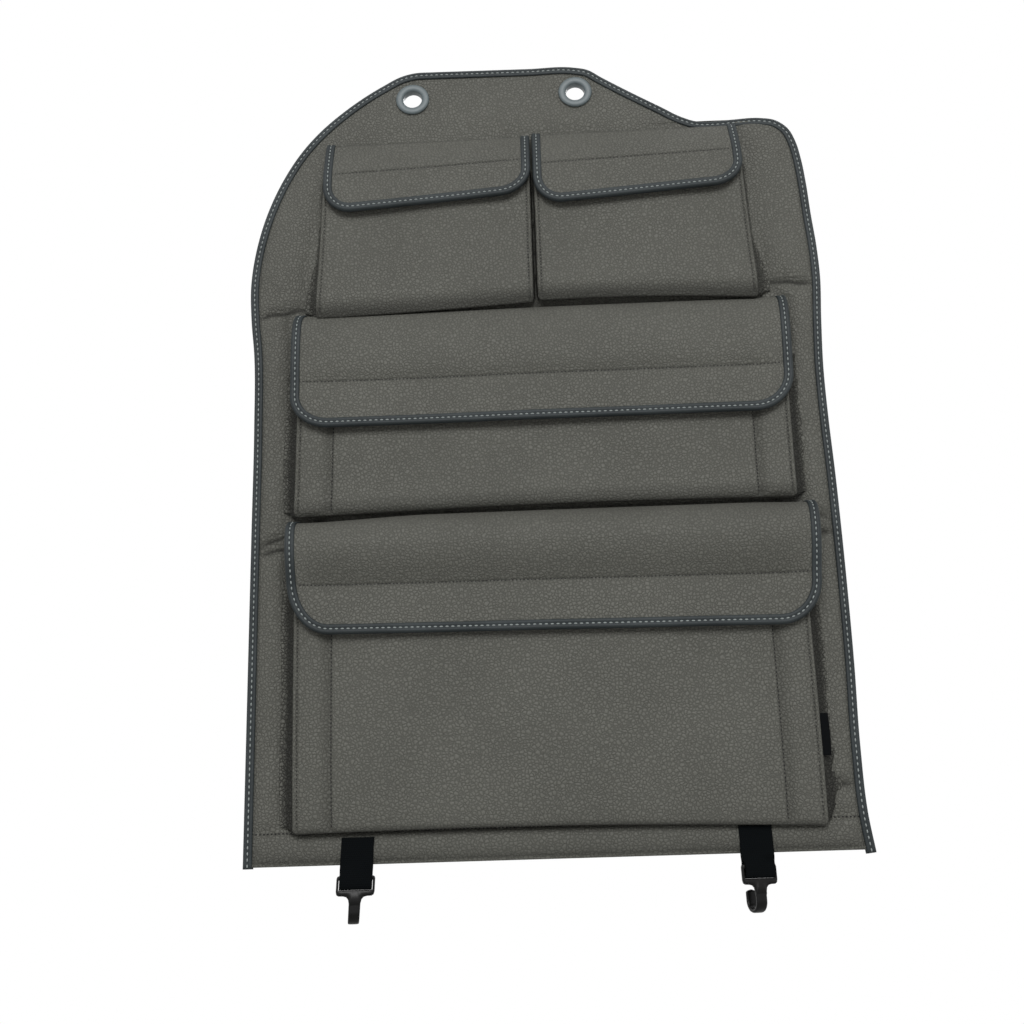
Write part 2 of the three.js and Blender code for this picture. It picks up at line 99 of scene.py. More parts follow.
def mesh_piece(name, points, faces, finish, replaces=(), uv=None, crease=None):
    """A smooth mesh that rides on the part and stands for the named solids. Crease is how much painted shade
    each point gets, from 0 to 1."""
    mesh = bpy.data.meshes.new(name)
    mesh.from_pydata(metres(points).reshape(-1, 3).tolist(), [], [list(map(int, f)) for f in faces])
    mesh.shade_smooth()
    if uv is not None:
        corners = np.zeros(len(mesh.loops), np.int32)
        mesh.loops.foreach_get("vertex_index", corners)
        layer = mesh.uv_layers.new(name="lay")
        layer.data.foreach_set("uv", np.asarray(uv, np.float32).reshape(-1, 2)[corners].ravel())
    # The crease attribute is painted shade: the leather darkens its colour by it.
    if crease is not None:
        layer = mesh.attributes.new("crease", "FLOAT", "POINT")
        layer.data.foreach_set("value", np.clip(crease, 0, 1).astype(np.float32).ravel())
    mesh.materials.append(finish)
    piece = bpy.data.objects.new(name, mesh)
    bpy.context.scene.collection.objects.link(piece)
    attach(piece, "root")
    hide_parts(*replaces)
    return piece


def thicken(piece, millimetres):
    """Gives a sheet its thickness behind its face."""
    wall = piece.modifiers.new("thickness", "SOLIDIFY")
    wall.thickness = millimetres * MILLIMETRE
    wall.offset = -1
    return piece


def faces_outwards(piece):
    """Turns the faces of a closed form to the outside."""
    work = bmesh.new()
    work.from_mesh(piece.data)
    bmesh.ops.recalc_face_normals(work, faces=work.faces)
    work.to_mesh(piece.data)
    work.free()
    return piece


print("helpers for meshes are ready")

# %% [markdown]
# ## Lines to sew along
#
# Bindings and stitches follow lines: the panel's outline, or a flap's edge. A line is given by a few measured
# points, a smooth cubic goes through them, and it is cut into equal steps.

# %% Smooth lines


def even_steps(line, step, count=None):
    """The line again with equal distances between its points, worked out from its first columns as a
    place."""
    places = line[:, :3]
    length = np.r_[0, np.cumsum(np.linalg.norm(np.diff(places, axis=0), axis=1))]
    at = np.linspace(0, length[-1], count or max(int(round(length[-1] / step)), 1) + 1)
    return np.stack([np.interp(at, length, column) for column in line.T], -1)


def curve_through(points, step):
    """A cubic from point to point; at each point it heads along the chord between its neighbours."""
    p = np.asarray(points, float)
    chord = np.r_[0, np.cumsum(np.linalg.norm(np.diff(p, axis=0), axis=1))]
    heading = np.gradient(p, chord, axis=0)
    t = np.linspace(0, chord[-1], 4000)
    i = np.clip(np.searchsorted(chord, t, side="right") - 1, 0, len(p) - 2)
    span = (chord[i + 1] - chord[i])[:, None]
    s = (t - chord[i])[:, None] / span
    line = (
        (2 * s**3 - 3 * s**2 + 1) * p[i] + (s**3 - 2 * s**2 + s) * span * heading[i]
        + (3 * s**2 - 2 * s**3) * p[i + 1] + (s**3 - s**2) * span * heading[i + 1]
    )
    return even_steps(line, step)


def unit(vectors):
    """Vectors of length 1 in the same directions."""
    return vectors / np.linalg.norm(vectors, axis=-1, keepdims=True)


def hump(x, middle, half_width):
    """A bell: exp(-((x - middle) / half width) squared)."""
    return np.exp(-(((x - middle) / half_width) ** 2))


def rise(x, start, end):
    """A smooth step from 0 at start to 1 at end: 3 s squared - 2 s cubed."""
    s = np.clip((x - start) / (end - start), 0, 1)
    return s * s * (3 - 2 * s)


print("helpers for lines are ready")

# %% [markdown]
# ## Swept bindings and single stitches
#
# A binding is one cross-section carried along a line: at each point it has a direction in from the edge and a
# direction out from the leather. A stitch is a small bead of thread: a short rod, thick in its middle, whose
# ends dip into the leather. There are hundreds, so each has only a couple of dozen faces.

# %% Sweeps and stitches


def sweep(name, line, inward, outward, section, finish, replaces=()):
    """A closed tube: point (i, k) is line i + section k's first number inwards + its second outwards."""
    section = np.asarray(section, float)
    line, inward, outward = line[:, None], inward[:, None], outward[:, None]
    points = line + section[None, :, :1] * inward + section[None, :, 1:] * outward
    return faces_outwards(mesh_piece(name, points, tube_faces(*points.shape[:2]), finish, replaces))


STITCH_RINGS = [(-1.0, 0.35), (-0.7, 0.85), (0.0, 1.0), (0.7, 0.85), (1.0, 0.35)]
STITCH_SIDES = 6


def stitches(name, centres, along, outward, size, finish, slot):
    """One bead of thread at each centre; size is its length, width and height. A ring at share t of the half
    length is an ellipse of the ring's own radius, and its middle drops with t squared."""
    length, width, height = size
    aside = unit(np.cross(along, outward))
    t, radius = np.array(STITCH_RINGS).T
    turn = np.linspace(0, 2 * np.pi, STITCH_SIDES, endpoint=False)
    lengthwise = np.repeat(t, STITCH_SIDES) * length / 2
    sideways = np.outer(radius, np.cos(turn)).ravel() * width / 2
    upward = (np.outer(radius, np.sin(turn)) - 0.7 * (t**2)[:, None]).ravel() * height / 2
    points = (
        centres[:, None, :] + lengthwise[None, :, None] * along[:, None, :]
        + sideways[None, :, None] * aside[:, None, :] + upward[None, :, None] * outward[:, None, :]
    )
    rings = len(STITCH_RINGS)
    one = tube_faces(rings, STITCH_SIDES)
    faces = [[v + n * rings * STITCH_SIDES for v in face] for n in range(len(centres)) for face in one]
    return faces_outwards(mesh_piece(name, points, faces, finish))


def stitch_line(line, outward, pitch):
    """Centres, directions and outward directions of stitches that are one pitch apart along a line."""
    even = even_steps(np.hstack([line, outward]), pitch)
    middle = (even[1:] + even[:-1]) / 2
    return middle[:, :3], unit(np.diff(even[:, :3], axis=0)), unit(middle[:, 3:])


print("helpers for bindings and stitches are ready")

# %% [markdown]
# ## Materials as sums
#
# Each finish is built from nodes. A small class wraps an output of a node, so that sums on it add Math nodes,
# and one method adds any other node. Patterns read Object coordinates, which are metres in the part's frame,
# so the grain has its real size on every piece and runs on from one to the next.

# %% A class for shader maths


class Value:
    """An output of a node; sums on it add Math nodes to the same material."""

    def __init__(self, finish, socket):
        self.finish, self.socket = finish, socket

    def maths(self, operation, first, second):
        return self.finish.add("ShaderNodeMath", {"operation": operation}, {0: first, 1: second})

    def __add__(self, other):
        return self.maths("ADD", self, other)

    def __radd__(self, other):
        return self.maths("ADD", other, self)

    def __sub__(self, other):
        return self.maths("SUBTRACT", self, other)

    def __rsub__(self, other):
        return self.maths("SUBTRACT", other, self)

    def __mul__(self, other):
        return self.maths("MULTIPLY", self, other)

    def __rmul__(self, other):
        return self.maths("MULTIPLY", other, self)

    def sine(self):
        return self.maths("SINE", self, 0.0)


class Finish:
    """A material, or a world, under construction."""

    def __init__(self, name, kind=bpy.data.materials):
        self.owner = kind.new(name)
        self.owner.use_nodes = True
        self.nodes = self.owner.node_tree.nodes
        self.links = self.owner.node_tree.links
        self.nodes.clear()

    def add(self, kind, settings=None, inputs=None, output=0):
        """Adds a node: its settings first, then its sockets, each a number, a colour or a Value."""
        node = self.nodes.new(kind)
        for setting, value in (settings or {}).items():
            setattr(node, setting, value)
        for socket, value in (inputs or {}).items():
            if isinstance(value, Value):
                self.links.new(value.socket, node.inputs[socket])
            else:
                node.inputs[socket].default_value = value
        return Value(self, node.outputs[output]) if len(node.outputs) else None

    def place(self):
        return self.add("ShaderNodeTexCoord", output="Object")

    def noise(self, where, scale, detail=2.0, output="Fac"):
        return self.add(
            "ShaderNodeTexNoise", None, {"Vector": where, "Scale": scale, "Detail": detail}, output=output
        )

    def smooth(self, value, start, end):
        return self.add(
            "ShaderNodeMapRange", {"interpolation_type": "SMOOTHSTEP"},
            {"Value": value, "From Min": start, "From Max": end},
        )

    def mix(self, factor, first, second):
        return self.add("ShaderNodeMix", {"data_type": "RGBA"}, {0: factor, 6: first, 7: second}, output=2)

    def shade(self, colour, roughness, height, depth, **constants):
        """Ends the material: its colour, roughness and bumps, and what is the same all over it."""
        bump = self.add("ShaderNodeBump", None, {"Height": height, "Strength": 1.0, "Distance": depth})
        inputs = {"Base Color": colour, "Roughness": roughness, "Normal": bump}
        inputs.update({name.replace("_", " "): value for name, value in constants.items()})
        return self.close(self.add("ShaderNodeBsdfPrincipled", None, inputs), "ShaderNodeOutputMaterial")

    def close(self, surface, output):
        """Links the surface to the output node."""
        self.add(output, None, {"Surface": surface})
        return self.owner


def paint(red, green, blue, light=1.0):
    """A colour as a screen shows it, 0 to 255, made lighter or darker, as linear light."""
    screen = np.array([red, green, blue]) / 255
    linear = np.where(screen <= 0.04045, screen / 12.92, ((screen + 0.055) / 1.055) ** 2.4)
    return (*np.clip(linear * light, 0, 1), 1.0)


print("shader maths is ready")

# %% [markdown]
# ## Faux leather
#
# The real sheet is embossed with pebbles two to three millimetres across, with narrow valleys between them.
# Cells of a Voronoi pattern are such pebbles: the distance to a cell's edge is flattened, so that each
# pebble has a broad top. The place that the pattern reads is shaken first, so that no pebble is a neat
# polygon. The valleys are painted darker than the tops, as shade, and are rougher, and a slow noise makes
# the sheet uneven in tone. Where a mesh's crease attribute is high, the colour is painted darker as shade.

# %% The leather's finish
LEATHER = (99, 99, 93)


def leather(name, pebble, depth, light=1.0, valley=0.7):
    """Pebbled leather: pebble is a cell's size and depth is the valleys' depth, both in millimetres; light
    is how light its tops are and valley how light its valleys are beside them, which is painted shade. Its
    colour is painted darker as shade where the mesh's crease attribute is high."""
    f = Finish(name)
    place = f.place()
    shake = f.add(
        "ShaderNodeVectorMath", {"operation": "SCALE"},
        {0: f.noise(place, 420.0, 2.0, "Color"), "Scale": 0.8 * pebble * MILLIMETRE},
    )
    shaken = f.add("ShaderNodeVectorMath", {"operation": "ADD"}, {0: place, 1: shake})
    edge = f.add(
        "ShaderNodeTexVoronoi", {"feature": "DISTANCE_TO_EDGE"},
        {"Vector": shaken, "Scale": 1 / (pebble * MILLIMETRE)},
    )
    tops = f.smooth(edge, 0.0, 0.16)
    domes = f.smooth(edge, 0.0, 0.5)
    wrinkles = f.noise(place, 520.0, 3.0)
    uneven = f.noise(place, 14.0, 3.0)
    height = 0.45 * tops + 0.45 * domes + 0.35 * wrinkles
    patches = f.smooth(uneven, 0.3, 0.7)
    top = f.mix(patches, paint(*LEATHER, light=light), paint(*LEATHER, light=1.1 * light))
    bottom = f.mix(
        patches, paint(*LEATHER, light=valley * light), paint(*LEATHER, light=1.1 * valley * light)
    )
    # Painted shade: the valleys are darker than the tops, and the crease attribute pulls the colour to a dark
    # shade.
    crease = f.add("ShaderNodeAttribute", {"attribute_name": "crease"}, output="Fac")
    colour = f.mix(crease, f.mix(tops, bottom, top), paint(*LEATHER, light=0.42 * valley * light))
    roughness = 0.58 - 0.08 * tops + 0.2 * crease
    return f.shade(colour, roughness, height, depth * MILLIMETRE, Specular_IOR_Level=0.22)


smooth_leather = leather("faux leather", 2.6, 0.6)
# The gathered leather is a little darker, and its valleys are painted much darker, as shade.
gathered_leather = leather("faux leather, gathered", 2.7, 1.0, light=0.9, valley=0.34)
print("leather:", smooth_leather.name, "and", gathered_leather.name)

# %% [markdown]
# ## Binding tape, thread, cloth, webbing, plastic
#
# The tape is a smoother dark strip with a faint fine grain. Its thread is a pale twisted cord, and the
# thread on the leather is dark. The backing is a plain weave, the webbing is ribbed across, and the plastic
# is smooth with a faint orange-peel surface.

# %% The other finishes


def tape_finish():
    """Dark tape: fine grain of half a millimetre."""
    f = Finish("binding tape")
    place = f.place()
    grain = f.add("ShaderNodeTexVoronoi", None, {"Vector": place, "Scale": 1400.0})
    slow = f.noise(place, 30.0, 2.0)
    colour = f.mix(f.smooth(slow, 0.3, 0.7), paint(36, 42, 44), paint(47, 53, 55))
    return f.shade(colour, 0.5 + 0.15 * grain, 0.6 * grain + 0.3 * slow, 0.00012, Specular_IOR_Level=0.3)


def thread_finish(name, colour, dark):
    """Twisted thread: fine noise stands for its strands."""
    f = Finish(name)
    place = f.place()
    strands = f.noise(place, 3800.0, 2.0)
    return f.shade(f.mix(strands, dark, colour), 0.6 + 0.2 * strands, strands, 0.00015)


def backing_finish():
    """Plain weave: the product of two sines of X and Z, a millimetre and a half apart."""
    f = Finish("backing cloth")
    place = f.place()
    x = f.add("ShaderNodeSeparateXYZ", None, {0: place}, output="X")
    z = f.add("ShaderNodeSeparateXYZ", None, {0: place}, output="Z")
    per_thread = 2 * np.pi / 0.0015
    weave = (x * per_thread).sine() * (z * per_thread).sine()
    fluff = f.noise(place, 900.0, 4.0)
    slow = f.noise(place, 12.0, 2.0)
    colour = f.mix(0.6 * fluff + 0.4 * slow, paint(40, 41, 42), paint(74, 75, 76))
    return f.shade(colour, 0.8 + 0.15 * fluff, 0.5 * weave + 0.6 * fluff, 0.0002, Specular_IOR_Level=0.2)


def webbing_finish(name, colour, light_colour, rib, laid=True):
    """Woven webbing: ribs across it every rib millimetres and a twill along it. Where it is laid, both follow
    the strap's own lay, and otherwise X and Z."""
    f = Finish(name)
    rib = rib * MILLIMETRE
    lay = f.add("ShaderNodeUVMap", {"uv_map": "lay"}) if laid else f.place()
    across = f.add("ShaderNodeSeparateXYZ", None, {0: lay}, output="X")
    along = f.add("ShaderNodeSeparateXYZ", None, {0: lay}, output="Y" if laid else "Z")
    ribs = (along * (2 * np.pi / rib)).sine()
    twill = (across * (2 * np.pi / 0.0014) + along * (np.pi / rib)).sine()
    fluff = f.noise(f.place(), 2500.0, 3.0)
    weave = 0.5 + 0.25 * ribs + 0.25 * twill
    colour = f.mix(0.7 * weave + 0.3 * fluff, colour, light_colour)
    return f.shade(colour, 0.75 + 0.15 * fluff, weave + 0.4 * fluff, 0.0002, Specular_IOR_Level=0.05)


def plastic_finish(name, colour, roughness, depth, gloss):
    """Moulded plastic: a faint orange peel and slight differences in gloss."""
    f = Finish(name)
    place = f.place()
    peel = f.noise(place, 700.0, 2.0)
    slow = f.noise(place, 60.0, 2.0)
    darker = tuple(0.8 * c for c in colour[:3]) + (1.0,)
    colour = f.mix(slow, darker, colour)
    return f.shade(colour, roughness + 0.12 * peel, peel, depth, Specular_IOR_Level=gloss)


def fleece_finish(name, colour, light_colour, scale, depth):
    """Hooks or loops of a fastener: coarse fluff."""
    f = Finish(name)
    place = f.place()
    fluff = f.noise(place, scale, 5.0)
    return f.shade(f.mix(fluff, colour, light_colour), 0.9 - 0.1 * fluff, fluff, depth)


tape = tape_finish()
pale_thread = thread_finish("pale thread", paint(186, 192, 190), paint(110, 117, 117))
dark_thread = thread_finish("dark thread", paint(26, 26, 25), paint(12, 12, 12))
backing = backing_finish()
webbing = webbing_finish("strap webbing", paint(4, 5, 6), paint(13, 17, 19), 1.5)
label_cloth = webbing_finish("label satin", paint(8, 9, 10), paint(20, 22, 24), 0.8, laid=False)
hook_plastic = plastic_finish("hook plastic", paint(7, 7, 7), 0.26, 0.00003, 0.22)
eyelet_plastic = plastic_finish("eyelet plastic", paint(100, 110, 113), 0.38, 0.00003, 0.5)
fleece = fleece_finish("fastener tape", paint(34, 34, 33), paint(70, 69, 66), 1500.0, 0.0004)
board = fleece_finish("stiffener board", paint(120, 112, 98), paint(150, 142, 126), 300.0, 0.0001)
print("finishes:", len(bpy.data.materials))

# %% [markdown]
# ## The panel's outline
#
# The panel isn't a rectangle: its top is a short straight edge over the eyelets, its left side falls in one
# long round, and its right side steps down to a shoulder. It bulges a little where the upper panel rests on
# the fold, and flares out at its lower right corner. The line is open at the bottom, as the binding is.

# %% The outline from measured points
LEFT_SIDE = [
    (-226, -1), (-226, 60), (-226, 150), (-226, 250), (-226, 335), (-227.5, 397), (-230.5, 428),
    (-231.5, 456), (-226.5, 495), (-217, 528), (-204.5, 556), (-191, 578), (-175, 597), (-158, 612.5),
    (-123, 637), (-107, 645.5), (-97, 648),
]
TOP_EDGE = [(-80, 648.3), (-60, 648), (0, 647), (38, 646.4)]
RIGHT_SIDE = [
    (50, 643.6), (62, 635.4), (80, 623.5), (110, 604.6), (127, 594), (138, 589.6), (152, 588.6), (170, 589.6),
    (190, 590), (204, 587), (213.5, 579), (219, 566), (222, 550), (224, 529), (225.5, 500), (227.5, 471),
    (228, 446), (225.5, 407), (223.5, 368), (223.5, 324), (224.5, 281), (225, 231), (225, 180), (224.5, 132),
    (223, 73), (224, 23), (227, -2),
]
OUTLINE_STEP = 2.8
outline = curve_through(LEFT_SIDE + TOP_EDGE + RIGHT_SIDE, OUTLINE_STEP)
headings = unit(np.gradient(outline, axis=0))
inwards = np.stack([headings[:, 1], -headings[:, 0]], -1)
print("the panel's edge is", round(OUTLINE_STEP * (len(outline) - 1)), "mm long")

# %% [markdown]
# ## The panel's binding
#
# The tape is folded round the panel's edge and sewn through. Its front has a plump outer half, a valley
# that the stitches pull down, and a flatter inner half. Its section is a channel that the leather's edge
# goes into.

# %% The panel's binding and its stitches
PANEL_TAPE_SECTION = [
    (7.0, 4.95), (6.9, 5.5), (6.2, 6.0), (5.2, 6.1), (4.4, 5.8), (3.65, 5.35), (2.9, 5.95), (2.0, 6.35),
    (1.1, 6.0), (0.4, 5.0), (0.05, 3.8), (0.0, 2.8), (0.1, 1.6), (0.5, 0.6), (1.4, 0.1), (3.0, 0.15),
    (3.65, 0.5), (4.4, 0.15), (6.4, 0.05), (7.0, 0.45), (6.9, 1.0), (1.1, 1.1), (1.1, 4.8), (6.8, 4.85),
]
STITCH_LINE = 3.65
PALE_STITCH = (2.4, 1.15, 0.9)
PALE_PITCH = 4.3
DARK_STITCH = (1.6, 1.35, 0.9)
DARK_PITCH = 2.8
FACE_FRONT = -4.6


def upright(flat_points, depth):
    """Points (x, z) of the panel's plane at a depth, as (x, y, z)."""
    x, z = np.moveaxis(np.asarray(flat_points, float), -1, 0)
    return np.stack([x, np.broadcast_to(depth, x.shape), z], -1)


edge_line, edge_inward = upright(outline, 0.0), upright(inwards, 0.0)
edge_outward = np.broadcast_to([0.0, -1.0, 0.0], edge_line.shape)
sweep("panel_binding_tape", edge_line, edge_inward, edge_outward, PANEL_TAPE_SECTION, tape,
      ["panel_binding"])
for side, level, facing in (("front", 5.75, 1.0), ("back", 0.35, -1.0)):
    sewn = edge_line + STITCH_LINE * edge_inward + level * edge_outward
    sewn = stitch_line(sewn, facing * edge_outward, PALE_PITCH)
    stitches(f"panel_binding_stitches_{side}", *sewn, PALE_STITCH, pale_thread, "binding")
print("stitches round the panel:", round(OUTLINE_STEP * len(outline) / PALE_PITCH), "on each side")

# %% [markdown]
# ## The panel's leather face
#
# The face is one sheet: it starts behind the lower edge as a hem, rolls round under it and runs up the
# front. A row of the grid is a height, and each row spans the outline at that height. Boards stiffen the
# panel between its rows of pockets. The leather is gently padded beside the pockets and sinks in at folds,
# where it creases. Rows are closer together at the folds, the seams and the eyelets.

# %% The face's grid
EDGE_TUCK = 1.6
HEM_TUCK = 7.4
HEM_HEIGHT = 23.0
ROLL_RADIUS = 2.3
FACE_TOP = 642.0
EDGE_BAND, EDGE_STEP = 48, 1.9
LEATHER_THICKNESS = 0.9
EYELETS = np.array([(-98.0, 622.0), (39.0, 622.0)])

tucked = outline + EDGE_TUCK * inwards
peak = int(np.argmax(outline[:, 1]))
left_branch, right_branch = tucked[: peak + 1], tucked[peak:][::-1]


def side_at(branch, heights):
    """The x of the outline at each height, from a branch that only climbs."""
    climb = np.maximum.accumulate(branch[:, 1]) + 1e-4 * np.arange(len(branch))
    return np.interp(heights, climb, branch[:, 0])


EYELET_ROWS = np.arange(605, 640, 1.5)
hem_rows = np.linspace(HEM_HEIGHT - 0.3, ROLL_RADIUS + 1, 8)
roll_turn = np.linspace(0, np.pi, 9)
front_rows = np.unique(np.r_[
    np.arange(ROLL_RADIUS + 0.5, FACE_TOP, 3.3), np.arange(19, 27, 0.6), np.arange(41, 51, 0.9),
    np.arange(229, 262, 0.8), np.arange(425, 448, 0.8), np.arange(583, 592, 0.4), EYELET_ROWS, FACE_TOP,
])
row_z = np.r_[hem_rows, ROLL_RADIUS - ROLL_RADIUS * np.sin(roll_turn), front_rows]
row_y = np.r_[
    0 * hem_rows, -ROLL_RADIUS + ROLL_RADIUS * np.cos(roll_turn), np.full(len(front_rows), FACE_FRONT)
]
row_tuck = np.r_[
    np.full(len(hem_rows), HEM_TUCK - EDGE_TUCK), np.linspace(HEM_TUCK - EDGE_TUCK, 0, len(roll_turn)),
    0 * front_rows,
]
left_x = side_at(left_branch, row_z) + row_tuck
right_x = side_at(right_branch, row_z) - row_tuck
band = np.arange(0, EDGE_BAND, EDGE_STEP)[:, None]
share = np.linspace(0, 1, 74)[1:-1, None]
inner = (left_x + EDGE_BAND) + share * (right_x - left_x - 2 * EDGE_BAND)
face_x = np.vstack([left_x + band, inner, right_x - band[::-1]]).T
face_z = np.broadcast_to(row_z[:, None], face_x.shape)
print("the face has", face_x.shape[0], "rows of", face_x.shape[1], "points")

# %% The face's padding, folds and eyelet holes
HOLE_EDGE = 10.8


def fold(z, middle, above, below):
    """A crease in padding: a bell that is narrow above its middle and wide below."""
    return np.where(z > middle, hump(z, middle, above), hump(z, middle, below))


FOLD_LINES = [
    (0, 430.3, 0.15, 1.0), (0, 243.2, 0.42, 0.9), (0, 233.8, 0.14, 0.85),
    (1, 439.5, 0.09, 0.95), (1, 249.0, 0.45, 0.65), (1, 233.7, 0.0, 0.9), (1, 45.6, -0.1, 0.8),
]


def face_folds(z, from_side):
    """The folds beside the pockets. Each line of FOLD_LINES has a side (0 is left), its height 20 mm in
    from the edge, its climb inwards and its strength. Gives what each side keeps of its padding, the painted
    shade above the folds, their painted dark lines, and small wrinkles."""
    kept = [np.ones_like(z), np.ones_like(z)]
    shade, dark, wrinkles = np.zeros((3,) + z.shape)
    for side, height, climb, strength in FOLD_LINES:
        inward = from_side[side]
        middle = height + climb * (inward - 20) + 0.5 * np.sin(inward / 3.1 + height)
        here = strength * rise(inward, 3, 12) * (1 - rise(inward, 52, 60))
        kept[side] = kept[side] * (1 - 0.97 * strength * fold(z, middle, 5, 6))
        shade += here * fold(z, middle, 5, 3)
        dark += here * hump(z, middle, 1.3)
        wrinkles += here * hump(z, middle + 1, 5) * np.sin((z - middle) / 0.62 + inward / 4)
    return kept, shade, dark, wrinkles


def face_padding(x, z, from_left, from_right):
    """How far the face stands forward, and its painted shade. A pad between binding and pockets, which the
    folds interrupt and which is wider beside the upper pockets, a plump hem, soft waves over the head, and
    nothing under the eyelets. The painted shade darkens the folds, a strip beside the tape, the foot of the
    front above the hem's roll, and a strip beside the pockets."""
    near_side = np.minimum(from_left, from_right)
    pad_width = 20 + 17 * rise(z, 425, 445)
    beside = [
        np.sin(np.pi * np.clip((inward - 5) / pad_width, 0, 1)) ** 0.8 for inward in (from_left, from_right)
    ]
    kept, shade, dark, wrinkles = face_folds(z, (from_left, from_right))
    hem_line = 1 - 0.6 * hump(z, 24, 2.5)
    body = rise(z, 23, 34) * (1 - rise(z, 560, 600)) * hem_line
    pads = body * (
        beside[0] * kept[0] * (2.4 + 3.2 * hump(z, 462, 22) + 2.0 * hump(z, 274, 17) + 0.6 * np.sin(z / 26))
        + beside[1] * kept[1] * (2.2 + 2.8 * hump(z, 465, 20) + 1.8 * hump(z, 274, 18) + 0.6 * np.sin(z / 29))
    )
    hem = 3.0 * np.sin(np.pi * np.clip((z - 0.5) / 21.5, 0, 1)) ** 0.8 * rise(near_side, 4, 14)
    over_head = rise(z, 575, 600) * rise(near_side, 6, 30) * (1 - rise(z, 628, 640))
    waves = over_head * (1.4 + 0.9 * np.sin(x / 31 + 0.8) + 0.5 * np.sin(z / 13 + x / 47))
    eyelet_ring = np.ones_like(x)
    for eyelet_x, eyelet_z in EYELETS:
        eyelet_ring *= rise(np.hypot(x - eyelet_x, z - eyelet_z), 14, 24)
    # Painted shade: dark lines and soft shade at the folds, a thin dark strip beside the tape, the front's
    # foot, and a strip beside the pockets.
    painted_shade = 0.8 * dark + 0.4 * shade + 0.5 * hump(near_side, 5.2, 1.2)
    painted_shade = painted_shade + 0.35 * hump(z, 0, 6) + 0.16 * hump(z, 10, 10)
    painted_shade = painted_shade + 0.35 * hump(near_side, pad_width + 7, 3.5) * rise(z, 25, 45) * (1 - rise(z, 425, 460))
    return (pads + hem + waves) * eyelet_ring + 0.3 * wrinkles - 0.5 * hump(z, 22.8, 0.9), painted_shade


def open_hole(points, faces, centre, radius, step):
    """Leaves out the faces over a round hole, and draws the points just outside it onto its rim."""
    off = points[:, [0, 2]] - centre
    away = np.hypot(*off.T)
    faces = faces[away[faces].min(axis=1) > radius - 0.25 * step]
    near = np.isin(np.arange(len(away)), faces) & (away < radius + step)
    reach = np.maximum(radius, away[near] - 0.75 * step) / away[near]
    points[near, 0] = centre[0] + off[near, 0] * reach
    points[near, 2] = centre[1] + off[near, 1] * reach
    return faces


def with_eyelet_holes(points, faces, radius, step):
    """Cuts both eyelets' holes. Gives the points that are left, the faces, and which points of the grid
    they are."""
    for eyelet in EYELETS:
        faces = open_hole(points, faces, eyelet, radius, step)
    used = np.unique(faces)
    renumber = np.zeros(len(points), int)
    renumber[used] = np.arange(len(used))
    return points[used], renumber[faces], used


on_front = np.r_[np.zeros(len(hem_rows) + len(roll_turn)), np.ones(len(front_rows))][:, None]
padding, painted_shade = face_padding(face_x, face_z, face_x - left_x[:, None], right_x[:, None] - face_x)
face_y = row_y[:, None] - on_front * padding
face_points = np.stack([face_x, face_y, face_z], -1).reshape(-1, 3)
face_points, face_quads, kept_points = with_eyelet_holes(
    face_points, grid_faces(*face_x.shape), HOLE_EDGE, EDGE_STEP
)
# The face's crease attribute carries its painted shade on the front.
panel_face = mesh_piece(
    "panel_leather", face_points, face_quads, smooth_leather, ["panel_face"],
    crease=(on_front * painted_shade).ravel()[kept_points],
)
thicken(panel_face, LEATHER_THICKNESS)
print("the face has", len(face_quads), "quads")

# %% [markdown]
# ## Behind the face
#
# Inside the panel are three boards, and a backing cloth closes it behind, above the turned-up hem. Both are
# sheets that span the same outline a little further in, so one function makes them. Neither can be seen in
# the photograph, so both are guessed. The boards end near the folds.

# %% The boards and the backing
SHEET_STEP = 2.1


def panel_sheet(name, heights, inset, level, thickness, hole, finish, slot, replaces, back=False):
    """A flat sheet: a row for each height from side to side of the outline, inset from it, with the
    eyelets' holes."""
    if heights[-1] > EYELET_ROWS[-1]:
        heights = np.unique(np.r_[heights, EYELET_ROWS])
    left, right = side_at(left_branch, heights) + inset, side_at(right_branch, heights) - inset
    share = np.linspace(0, 1, 110)[None, :]
    x = left[:, None] * (1 - share) + right[:, None] * share
    z = np.broadcast_to(heights[:, None], x.shape)
    seams = sum(hump(z, seam, 1.6) for seam in SEAMS_BEHIND) if back else 0 * x
    soft = 0.25 * np.sin(x / 37 + z / 51) * np.sin(z / 43) if back else 0 * x
    points = np.stack([x, level + soft - 0.35 * seams, z], -1).reshape(-1, 3)
    faces = grid_faces(*x.shape)
    faces = faces[:, ::-1] if back else faces
    points, faces, _ = with_eyelet_holes(points, faces, hole, SHEET_STEP)
    return thicken(mesh_piece(name, points, faces, finish, replaces), thickness)


SEAMS_BEHIND = {31: 188, 262: 188, 426: 188, 578: 168}
FOLDS, HALF_GAP = (255.0, 425.0), 1.5
BOARD = dict(inset=4.0, level=-3.4, thickness=1.8, hole=10.4, finish=board, slot="board")
BACKING = dict(inset=5.9, level=-0.05, thickness=0.8, hole=14.2, finish=backing, slot="lining")
for place, bottom, top in (
    ("bottom", 4, FOLDS[0] - HALF_GAP), ("middle", FOLDS[0] + HALF_GAP, FOLDS[1] - HALF_GAP),
    ("top", FOLDS[1] + HALF_GAP, 640),
):
    rows = np.linspace(bottom, top, int((top - bottom) / 4.5))
    panel_sheet(f"board_{place}", rows, replaces=[f"stiffener_{place}"], **BOARD)
rows = np.linspace(23.6, 641, 120)
cloth = panel_sheet("backing_cloth", rows, replaces=["panel_lining"], back=True, **BACKING)
print("boards and backing are in place")

# %% [markdown]
# ## Stitches across the panel
#
# The hem is closed by one row of dark stitches, and four rows that are guessed cross the backing. Dark
# stitches sit almost flush, so only their tops show.

# %% The hem's row and the rows on the back
facing_front = np.array([[0.0, -1.0, 0.0]])


